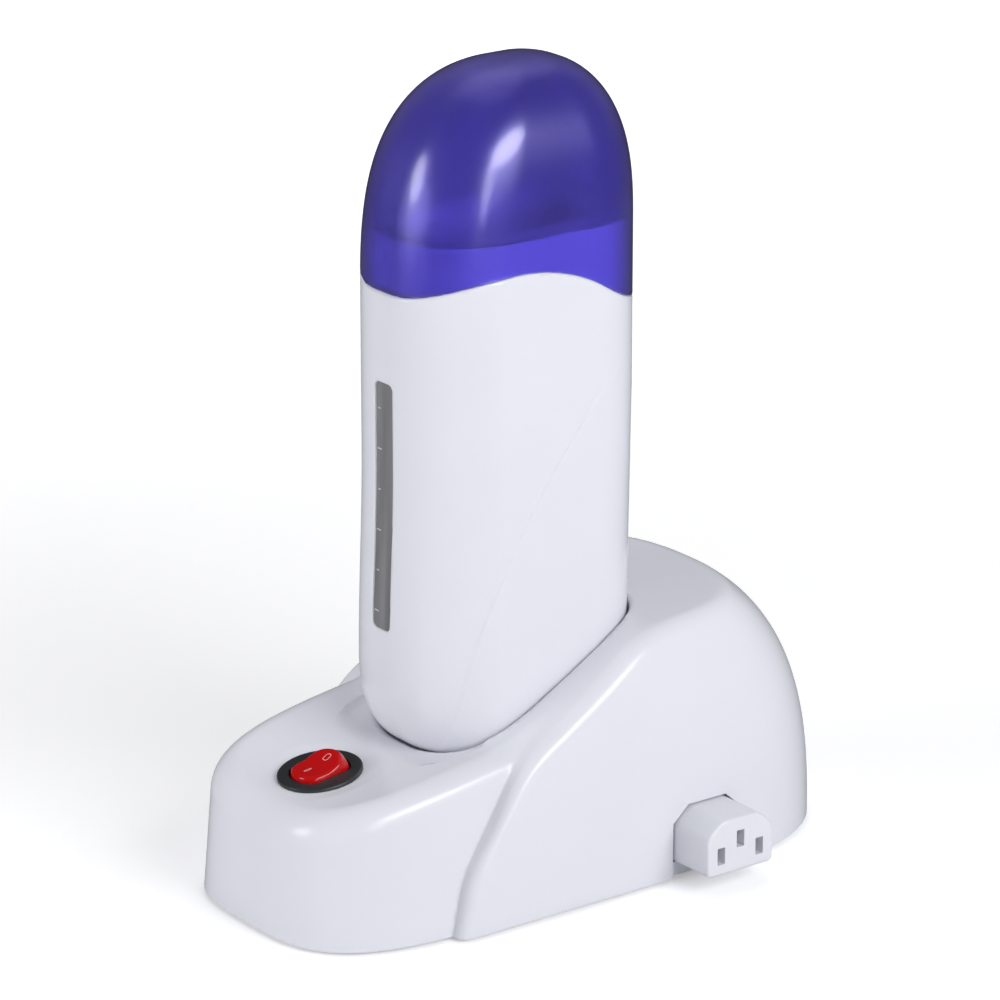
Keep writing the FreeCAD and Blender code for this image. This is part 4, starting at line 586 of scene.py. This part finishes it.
# --------------------------------------------------------------------------------------------------
# Underside. A flat cover in the same ABS, spark-eroded to a satin grain, held by four screws, with four
# rubber feet pressed into its seats.
# --------------------------------------------------------------------------------------------------
satin_white = moulded_plastic(
    "satin_white", (0.70, 0.71, 0.77), (0.74, 0.75, 0.80), roughness=0.42, spread=0.10, ripple=0.6, IOR=1.5,
)
dress(cad["base_bottom_cover"], satin_white)
black_rubber = Finish("black_rubber", Roughness=0.75, IOR=1.45)
dust = black_rubber.noise(260.0, 4.0)
black_rubber.feed(Base_Color=black_rubber.shade(dust, (0.018, 0.018, 0.020), (0.045, 0.044, 0.046)))
black_rubber.grain(black_rubber.noise(2600.0, 2.0), 0.5, 0.00005)
dress(cad["rubber_feet"], black_rubber)


MARK_SCALE, PATCH_SCALE, MARK_SPREAD, MARK_DEPTH = 900.0, 120.0, 0.16, 0.02 * MM


def worked_metal(name, low, high, roughness, stretch):
    """Bare metal with fine tool marks along one direction."""
    finish = Finish(name, Metallic=1.0)
    marks = finish.noise(MARK_SCALE, 3.0, stretch)
    patches = finish.noise(PATCH_SCALE, 2.0)
    gloss = marks * MARK_SPREAD + (roughness - MARK_SPREAD / 2)
    finish.feed(Base_Color=finish.shade(patches, low, high), Roughness=gloss)
    return finish.grain(marks, 0.25, MARK_DEPTH)


zinc_steel = worked_metal("zinc_steel", (0.62, 0.63, 0.65), (0.74, 0.75, 0.78), 0.37, (1.0, 1.0, 6.0))
for node in ("bottom_cover_screws", "handset_screws"):
    dress(cad[node], zinc_steel)

# --------------------------------------------------------------------------------------------------
# Switch. A bought rocker switch: charcoal nylon bezel and barrel snapped into the deck, tinned blades
# below, and a glossy red rocker with its two marks printed on it. The rocker turns on its pin.
# --------------------------------------------------------------------------------------------------
charcoal_nylon = moulded_plastic(
    "charcoal_nylon", (0.020, 0.024, 0.027), (0.030, 0.034, 0.037), roughness=0.38, spread=0.10, ripple=0.35,
)
dress(cad["switch_housing"], charcoal_nylon)
tinned_brass = worked_metal("tinned_brass", (0.60, 0.56, 0.46), (0.72, 0.68, 0.58), 0.37, (6.0, 6.0, 1.0))
dress(cad["switch_terminals"], tinned_brass)

PIN_DEPTH = 1.0
PIVOT = np.array([
    0.0, DECK_SPOT[0] + PIN_DEPTH * math.sin(DECK_TURN), DECK_SPOT[1] - PIN_DEPTH * math.cos(DECK_TURN),
])
ROCKER_TURN = DECK_TURN + math.radians(10.0)
ROCKER_SLANT = math.radians(13.0)
ROCKER_RADIUS, ROCKER_HALF_WIDTH, ROCKER_MIDDLE, ROCKER_BELOW = 8.6, 6.4, 3.7, 4.5
ROCKER_SOFTNESS, ROCKER_DIP, CHEEK_EDGE, TOP_EDGE = 5.0, 2.24, 1.6, 0.9
PIN_RADIUS, PIN_HALF_LENGTH = 1.2, 7.9


def to_rocker(x, y, z):
    """A place as it is on the rocker: across, along its face and up from its pin."""
    ahead, over = y - PIVOT[1], z - PIVOT[2]
    along = ahead * math.cos(ROCKER_TURN) + over * math.sin(ROCKER_TURN)
    return x, along, over * math.cos(ROCKER_TURN) - ahead * math.sin(ROCKER_TURN)


def rocker_top(along):
    """Height of the rocker's top over its pin: a shallow V with a rounded bottom."""
    return ROCKER_MIDDLE + (np.sqrt(along**2 + ROCKER_SOFTNESS) - ROCKER_DIP) * math.tan(ROCKER_SLANT)


def rocker_depth(x, y, z):
    """The rocker: a ball with flat cheeks, a shallow V on top, all its edges rounded, and its pin."""
    across, along, above = to_rocker(x, y, z)
    ball = np.sqrt(across**2 + along**2 + above**2) - ROCKER_RADIUS
    cheeks = np.abs(across) - ROCKER_HALF_WIDTH
    top = (above - rocker_top(along)) * math.cos(ROCKER_SLANT)
    body = rounded_meet(rounded_meet(ball, cheeks, CHEEK_EDGE), top, TOP_EDGE)
    body = np.maximum(body, -ROCKER_BELOW - above)
    pin = np.maximum(np.hypot(along, above) - PIN_RADIUS, np.abs(across) - PIN_HALF_LENGTH)
    return np.minimum(body, pin)


glossy_red = moulded_plastic(
    "glossy_red", (0.50, 0.004, 0.005), (0.55, 0.006, 0.007), roughness=0.12, spread=0.04, ripple=0.08,
    IOR=1.45,
)
rocker = moulded_skin("rocker", rocker_depth, low=PIVOT - 9.0, high=PIVOT + 9.0, step=0.3)
dress(rocker, glossy_red)
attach(rocker, "rocker")
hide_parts("rocker_button")


def band_along(outline, half_width):
    """The corners and quads of a flat band that follows a closed outline."""
    ahead = np.roll(outline, -1, axis=0) - np.roll(outline, 1, axis=0)
    ahead /= np.linalg.norm(ahead, axis=1, keepdims=True)
    aside = np.stack([ahead[:, 1], -ahead[:, 0]], axis=-1) * half_width
    corners = np.concatenate([outline + aside, outline - aside])
    count = len(outline)
    steps = [(place, (place + 1) % count) for place in range(count)]
    return corners, [(here, after, count + after, count + here) for here, after in steps]


def oval_line(centre, half_width, half_length, power):
    """Points round a squarish oval."""
    angles = np.linspace(0, 2 * math.pi, 48, endpoint=False)
    across = np.sign(np.cos(angles)) * np.abs(np.cos(angles)) ** (2 / power) * half_width
    along = np.sign(np.sin(angles)) * np.abs(np.sin(angles)) ** (2 / power) * half_length
    return np.stack([across + centre[0], along + centre[1]], axis=-1)


def from_rocker(across, along, above):
    """The points in space of places on the rocker."""
    cosine, sine = math.cos(ROCKER_TURN), math.sin(ROCKER_TURN)
    return np.stack([across, along * cosine - above * sine, along * sine + above * cosine], axis=-1) + PIVOT


MARK_HALF_BAND, MARK_HEIGHT, MARK_POWER = 0.11, 0.05, 3.2
ON_MARK = ((0.0, -3.3), 0.28, 1.15)
OFF_MARK = ((0.0, 3.8), 0.95, 1.2)
mark_points, mark_faces = [], []
for centre, half_width, half_length in (ON_MARK, OFF_MARK):
    outline = oval_line(centre, half_width, half_length, MARK_POWER)
    corners, quads = band_along(outline, MARK_HALF_BAND)
    across, along = corners.T
    shift = len(mark_points)
    mark_points += (from_rocker(across, along, rocker_top(along) + MARK_HEIGHT) * MM).tolist()
    mark_faces += [tuple(shift + corner for corner in quad) for quad in quads]
mark_mesh = bpy.data.meshes.new("switch_marks")
mark_mesh.from_pydata(mark_points, [], mark_faces)
switch_marks = set_down("switch_marks", mark_mesh)
mark_paint = Finish("mark_paint", Roughness=0.45)
speckle = mark_paint.noise(2400.0)
mark_paint.feed(Base_Color=mark_paint.shade(speckle, (0.83, 0.42, 0.46), (0.92, 0.56, 0.58)))
dress(switch_marks, mark_paint)
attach(switch_marks, "rocker")

# --------------------------------------------------------------------------------------------------
# Sockets. The chain outlet on the right and the mains inlet on the left: white nylon blocks with brass
# contacts, clamped by their flanges between the housing and its cover. The outlet's skin is worked out.
# --------------------------------------------------------------------------------------------------
socket_nylon = moulded_plastic(
    "socket_nylon", (0.76, 0.77, 0.83), (0.79, 0.80, 0.85), roughness=0.34, spread=0.06, ripple=0.10, IOR=1.5,
)
dress(cad["inlet_block"], socket_nylon)
OUTLET_BACK, OUTLET_FACE = 38.2, 63.2
OUTLET_CORNER, OUTLET_TOP_EDGE, OUTLET_FACE_EDGE, SLOT_CORNER = 1.6, 0.6, 0.7, 0.3
FLANGE_X, FLANGE_HALF_DEPTH, FLANGE_MARGIN, FLANGE_FOOT = 42.95, 1.2, 2.2, 4.0
SLOT_PITCH, SLOT_RISE, SLOT_DEPTH = 7.0, 4.0, 17.0
SLOT_HALF_WIDTH, SLOT_HALF_HEIGHT, DUCT_HALF_WIDTH, DUCT_HALF_HEIGHT = 1.4, 2.6, 0.86, 2.06


def outlet_depth(x, y, z):
    """The outlet's block: softly cornered body, square flange behind the wall, and slots with ducts."""
    flank = np.abs(y - SOCKET_Y) - SOCKET_HALF_WIDTH
    above, below = z - OUTLET_LINE - SOCKET_ABOVE, OUTLET_LINE - SOCKET_BELOW - z
    outline = rounded_meet(rounded_meet(flank, below, OUTLET_CORNER), above, OUTLET_TOP_EDGE)
    outline = blended_meet(outline, socket_slant(flank, above), OUTLET_CORNER)
    body = np.maximum(rounded_meet(outline, x - OUTLET_FACE, OUTLET_FACE_EDGE), OUTLET_BACK - x)
    square = np.maximum(flank - FLANGE_MARGIN, FLANGE_FOOT - z)
    flange = np.where(z < NOTCH_TOP, square, socket_shape(y, z, OUTLET_LINE, FLANGE_MARGIN))
    block = np.minimum(body, np.maximum(flange, np.abs(x - FLANGE_X) - FLANGE_HALF_DEPTH))
    for place in (-1, 0, 1):
        aside = y - SOCKET_Y - place * SLOT_PITCH
        over = z - OUTLET_LINE - (0.0 if place else SLOT_RISE)
        mouth = rounded_oblong(aside, over, SLOT_HALF_WIDTH, -SLOT_HALF_HEIGHT, SLOT_HALF_HEIGHT, SLOT_CORNER)
        duct = np.maximum(np.abs(aside) - DUCT_HALF_WIDTH, np.abs(over) - DUCT_HALF_HEIGHT)
        block = np.maximum(block, -np.minimum(np.maximum(mouth, OUTLET_FACE - SLOT_DEPTH - x), duct))
    return block


outlet = moulded_skin(
    "outlet", outlet_depth, low=(OUTLET_BACK, 17.8, FLANGE_FOOT), high=(OUTLET_FACE, 46.2, 24.7), step=0.5,
)
dress(outlet, socket_nylon)
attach(outlet, "base")
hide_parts("outlet_block")
brass = worked_metal("brass", (0.70, 0.52, 0.22), (0.80, 0.62, 0.30), 0.37, (1.0, 6.0, 6.0))
for node in ("outlet_contacts", "inlet_pins"):
    dress(cad[node], brass)

# --------------------------------------------------------------------------------------------------
# Charging contacts. Two gilt plungers, pushed up by coil springs of round steel wire, in a black carrier
# under the cradle.
# --------------------------------------------------------------------------------------------------
dress(cad["contact_carrier"], charcoal_nylon)
gilt = worked_metal("gilt", (0.82, 0.62, 0.28), (0.90, 0.72, 0.38), 0.18, (1.0, 1.0, 4.0))
for node in ("contact_plunger_left", "contact_plunger_right", "handset_contact_pads"):
    dress(cad[node], gilt)
spring_steel = worked_metal("spring_steel", (0.50, 0.50, 0.51), (0.66, 0.66, 0.68), 0.18, (3.0, 3.0, 3.0))
SPRING_WIRE, PLUNGER_TRAVEL = 0.6 * MM, 1.6 * MM
SPRING_TURNS, TURN_POINTS = 5, 24
for side in ("left", "right"):
    lowest, highest = (np.array(corner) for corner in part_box(f"contact_spring_{side}"))
    centre = (lowest + highest) / 2
    coil_radius = (highest[0] - lowest[0] - SPRING_WIRE) / 2
    free_length = highest[2] - lowest[2]
    wire = bpy.data.curves.new(f"spring_{side}", "CURVE")
    wire.dimensions = "3D"
    wire.bevel_depth = SPRING_WIRE / 2
    wire.bevel_resolution = 3
    wire.use_fill_caps = True
    line = wire.splines.new("POLY")
    line.points.add(SPRING_TURNS * TURN_POINTS)
    for number, point in enumerate(line.points):
        turns = number / TURN_POINTS
        angle = 2 * math.pi * turns
        x = centre[0] + coil_radius * math.cos(angle)
        y = centre[1] + coil_radius * math.sin(angle)
        z = lowest[2] + SPRING_WIRE / 2 + (free_length - SPRING_WIRE) * turns / SPRING_TURNS
        point.co = (x, y, z, 1)
    wound = set_down(f"spring_{side}", wire)
    spring = set_down(f"contact_coil_{side}", bpy.data.meshes.new_from_object(wound))
    bpy.data.objects.remove(wound)
    dress(spring, spring_steel)
    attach(spring, "base")
    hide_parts(f"contact_spring_{side}")
    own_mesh(spring)

# --------------------------------------------------------------------------------------------------
# Handset shell. One white moulding, open at its wavy top, with the window's opening in front, a doorway
# below and a shallow step that sweeps down each broad side.
# --------------------------------------------------------------------------------------------------
def arc_pair(y, start, end):
    """Height of two tangent arcs that leave one point level and reach another level."""
    span, rise_of = end[0] - start[0], end[1] - start[1]
    radius = (span * span + rise_of * rise_of) / (4 * abs(rise_of))
    way = math.copysign(1.0, rise_of)
    first = start[1] + way * (radius - np.sqrt(np.maximum(radius**2 - (y - start[0]) ** 2, 0)))
    second = end[1] - way * (radius - np.sqrt(np.maximum(radius**2 - (end[0] - y) ** 2, 0)))
    return np.where(y < (start[0] + end[0]) / 2, first, second)


WAVE_FRONT, WAVE_CREST, WAVE_REAR = (-72.4, 172.5), (-20.3, 184.8), (39.9, 167.3)


def wave_height(y):
    """Height of the wavy joint between the shell and the cap."""
    front = arc_pair(y, WAVE_FRONT, WAVE_CREST)
    return np.where(y < WAVE_CREST[0], front, arc_pair(y, WAVE_CREST, WAVE_REAR))


SWEEP_FOOT, SWEEP_HEAD, SWEEP_POWER = (-40.0, 46.0), (20.0, 158.0), 1.9
SWEEP_DROP = 0.5


def sweep_depth(x, y, z):
    """How far the broad sides are let down ahead of a line that sweeps up from the foot to the rear."""
    climb = np.maximum(z - SWEEP_FOOT[1], 0) / (SWEEP_HEAD[1] - SWEEP_FOOT[1])
    ahead = SWEEP_FOOT[0] + (SWEEP_HEAD[0] - SWEEP_FOOT[0]) * climb**SWEEP_POWER - y
    share = eased(ahead, -0.5, 0.5) * (1 - eased(ahead, 1.5, 30.0))
    return SWEEP_DROP * share * eased(SWEEP_HEAD[1] - z, 0.0, 22.0) * eased(np.abs(x), 14.0, 20.0)


HANDSET_WALL, WINDOW_HALF_WIDTH, WINDOW_LOW, WINDOW_HIGH = 2.2, 4.2, 79.0, 152.0
DOOR_HALF_WIDTH, DOOR_FRONT, DOOR_REAR, DOOR_TOP = 14.0, -27.9, 13.1, 48.0
FOOT_EDGE, RIM_EDGE, WINDOW_EDGE, WINDOW_CORNER, DOOR_CORNER = 1.2, 0.5, 0.35, 2.0, 8.0


def handset_shell_depth(x, y, z):
    """The handset's wall with everything that is cut out of it."""
    outside = rounded_meet(heater_outline(x, y, z) + sweep_depth(x, y, z), HANDSET_FOOT - z, FOOT_EDGE)
    inside = np.maximum(heater_outline(x, y, z, HANDSET_WALL), HANDSET_FOOT + HANDSET_WALL - z)
    wall = np.maximum(rounded_meet(outside, z - wave_height(y), RIM_EDGE), -inside)
    window = rounded_oblong(x, z, WINDOW_HALF_WIDTH, WINDOW_LOW, WINDOW_HIGH, WINDOW_CORNER)
    wall = rounded_meet(wall, -np.maximum(window, y + 20.0), WINDOW_EDGE)
    door = rounded_oblong(x, y, DOOR_HALF_WIDTH, DOOR_FRONT, DOOR_REAR, DOOR_CORNER)
    return np.maximum(wall, -np.maximum(door, z - DOOR_TOP))


handset_case = moulded_skin(
    "handset_case", handset_shell_depth, low=(-27.7, -49.6, HANDSET_FOOT), high=(27.7, 31.1, 184.8), step=1.0,
)
dress(handset_case, glossy_white)
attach(handset_case, "handset")
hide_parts("handset_shell")
dress(cad["handset_bottom_plate"], satin_white)

# --------------------------------------------------------------------------------------------------
# Level window. A strip of smoked acrylic behind the front opening, with level ticks printed on it. The
# ticks are set down on the strip by Geometry Nodes.
# --------------------------------------------------------------------------------------------------
smoked_acrylic = Finish("smoked_acrylic", IOR=1.49, Transmission_Weight=0.25)
haze = smoked_acrylic.noise(300.0, 2.0, (1.0, 1.0, 0.06)) * 1.6 - 0.3
smoked_acrylic.feed(
    Base_Color=smoked_acrylic.shade(haze, (0.22, 0.22, 0.23), (0.36, 0.36, 0.38)),
    Roughness=smoked_acrylic.noise(500.0) * 0.06 + 0.08,
)
dress(cad["window_lens"], smoked_acrylic)
tick_ink = Finish("tick_ink", Roughness=0.5)
tick_ink.feed(Base_Color=tick_ink.shade(tick_ink.noise(2500.0), (0.40, 0.40, 0.41), (0.66, 0.66, 0.68)))


def tick_nodes():
    """Printed ticks up the window: each is set down on the lens, and every other one is longer."""
    tree = bpy.data.node_groups.new("level_ticks", "GeometryNodeTree")
    tree.interface.new_socket("Geometry", in_out="OUTPUT", socket_type="NodeSocketGeometry")
    wanted = {"Count": "NodeSocketInt", "Lens": "NodeSocketObject", "Ink": "NodeSocketMaterial"}
    wanted |= {"Lowest": "NodeSocketVector", "Pitch": "NodeSocketVector", "Size": "NodeSocketVector"}
    sockets = {
        label: tree.interface.new_socket(label, in_out="INPUT", socket_type=kind).identifier
        for label, kind in wanted.items()
    }
    given = tree.nodes.new("NodeGroupInput")

    def add(kind, settings=None, **inputs):
        made = tree.nodes.new(kind)
        for key, setting in (settings or {}).items():
            setattr(made, key, setting)
        for key, item in inputs.items():
            socket = made.inputs[key.replace("_", " ") if not key[1:].isdigit() else int(key[1:])]
            if isinstance(item, bpy.types.NodeSocket):
                tree.links.new(item, socket)
            else:
                socket.default_value = item
        return made

    line = add(
        "GeometryNodeMeshLine", Count=given.outputs["Count"], Start_Location=given.outputs["Lowest"],
        Offset=given.outputs["Pitch"],
    )
    pane = add("GeometryNodeObjectInfo", Object=given.outputs["Lens"]).outputs["Geometry"]
    landed = add("GeometryNodeRaycast", Target_Geometry=pane, Ray_Direction=(0.0, 1.0, 0.0))
    met = landed.outputs["Hit Position"]
    placed = add("GeometryNodeSetPosition", Geometry=line.outputs[0], Position=met)
    tick = add("GeometryNodeMeshCube", Size=given.outputs["Size"])
    number = add("GeometryNodeInputIndex")
    odd = add("ShaderNodeMath", {"operation": "MODULO"}, _0=number.outputs[0], _1=2.0)
    length = add("ShaderNodeMath", {"operation": "MULTIPLY_ADD"}, _0=odd.outputs[0], _1=-0.45, _2=1.0)
    grown = add("ShaderNodeCombineXYZ", X=length.outputs[0], Y=1.0, Z=1.0)
    copies = add(
        "GeometryNodeInstanceOnPoints", Points=placed.outputs[0], Instance=tick.outputs[0],
        Scale=grown.outputs[0],
    )
    real = add("GeometryNodeRealizeInstances", Geometry=copies.outputs[0])
    inked = add("GeometryNodeSetMaterial", Geometry=real.outputs[0], Material=given.outputs["Ink"])
    tree.links.new(inked.outputs[0], tree.nodes.new("NodeGroupOutput").inputs[0])
    return tree, sockets


tick_tree, tick_sockets = tick_nodes()
maker = set_down("tick_maker", bpy.data.meshes.new("tick_maker"))
growth = maker.modifiers.new("ticks", "NODES")
growth.node_group = tick_tree
tick_sizes = {
    "Count": 6,
    "Lens": cad["window_lens"],
    "Ink": tick_ink.material,
    "Lowest": (-2.6 * MM, -60 * MM, 84 * MM),
    "Pitch": (0.0, 0.0, 12 * MM),
    "Size": (1.9 * MM, 0.12 * MM, 0.4 * MM),
}
for label, amount in tick_sizes.items():
    growth[tick_sockets[label]] = amount
bpy.context.view_layer.update()
grown_ticks = bpy.data.meshes.new_from_object(maker.evaluated_get(bpy.context.evaluated_depsgraph_get()))
bpy.data.objects.remove(maker)
level_ticks = set_down("level_ticks", grown_ticks)
dress(level_ticks, tick_ink)
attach(level_ticks, "handset")

# --------------------------------------------------------------------------------------------------
# Heating chamber. A heat-resistant sleeve under a white collar whose top face is painted a deeper grey as
# shade, and on its sides two aluminium plates, two ceramic heaters in foil and a thermal fuse.
# --------------------------------------------------------------------------------------------------
collar_white = moulded_plastic(
    "collar_white", (0.51, 0.52, 0.55), (0.54, 0.55, 0.58), roughness=0.34, spread=0.06, ripple=0.1, IOR=1.5,
)
# Painted shade: the collar's top face, above this height, gets a deeper grey than its flank.
COLLAR_RIM = 193.6 * MM
height = collar_white.node("ShaderNodeSeparateXYZ", None, {0: collar_white.place}, output=2)
rim = height.maths("GREATER_THAN", COLLAR_RIM)
speckle = collar_white.noise(300.0)
flank = collar_white.shade(speckle, (0.51, 0.52, 0.55), (0.54, 0.55, 0.58))
painted_shade_top = collar_white.shade(speckle, (0.30, 0.30, 0.32), (0.34, 0.34, 0.36))
collar_white.feed(Base_Color=collar_white.shade(rim, flank, painted_shade_top))
dress(cad["chamber_collar"], collar_white)
heat_resin = moulded_plastic(
    "heat_resin", (0.44, 0.44, 0.45), (0.50, 0.50, 0.51), roughness=0.5, spread=0.1, ripple=0.4,
)
dress(cad["cartridge_sleeve"], heat_resin)
rolled_aluminium = worked_metal(
    "rolled_aluminium", (0.80, 0.81, 0.82), (0.88, 0.89, 0.90), 0.38, (1.0, 1.0, 8.0),
)
for node in ("heat_plate_left", "heat_plate_right"):
    dress(cad[node], rolled_aluminium)
amber_foil = Finish("amber_foil", Roughness=0.3, Coat_Weight=0.6)
crumple = amber_foil.noise(300.0, 4.0)
amber_foil.feed(Base_Color=amber_foil.shade(crumple, (0.52, 0.25, 0.03), (0.66, 0.36, 0.06)))
amber_foil.grain(crumple, 0.5, 0.0002)
dress(cad["ptc_heaters"], amber_foil)
dress(cad["thermal_fuse"], tinned_brass)

# --------------------------------------------------------------------------------------------------
# Cap. Clear violet polycarbonate in one moulding, through which the collar shows. It drops over the
# collar and ends just above the shell's wavy edge.
# --------------------------------------------------------------------------------------------------
CAP_GAP, CAP_WALL = 0.3, 1.8


def cap_depth(x, y, z):
    """The cap's wall, from its wavy lower edge to its dome."""
    outside = rounded_meet(heater_outline(x, y, z), wave_height(y) + CAP_GAP - z, RIM_EDGE)
    return np.maximum(outside, -heater_outline(x, y, z, CAP_WALL))


cap = moulded_skin(
    "cap", cap_depth, low=(-27.7, -47.9, 168.0), high=(27.7, 31.2, APEX_HEIGHT), step=1.0,
)
clear_violet = Finish(
    "clear_violet", IOR=1.25, Specular_IOR_Level=0.0, Transmission_Weight=1.0,
    Coat_Weight=1.0, Coat_Roughness=0.19, Coat_IOR=1.5,
)
swirl = clear_violet.noise(45.0, 3.0)
clear_violet.feed(
    Base_Color=clear_violet.shade(swirl, (0.355, 0.305, 0.945), (0.375, 0.325, 0.965)),
    Roughness=clear_violet.noise(380.0) * 0.04 + 0.29,
)
dress(cap, clear_violet)
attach(cap, "cap")
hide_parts("cap_shell")
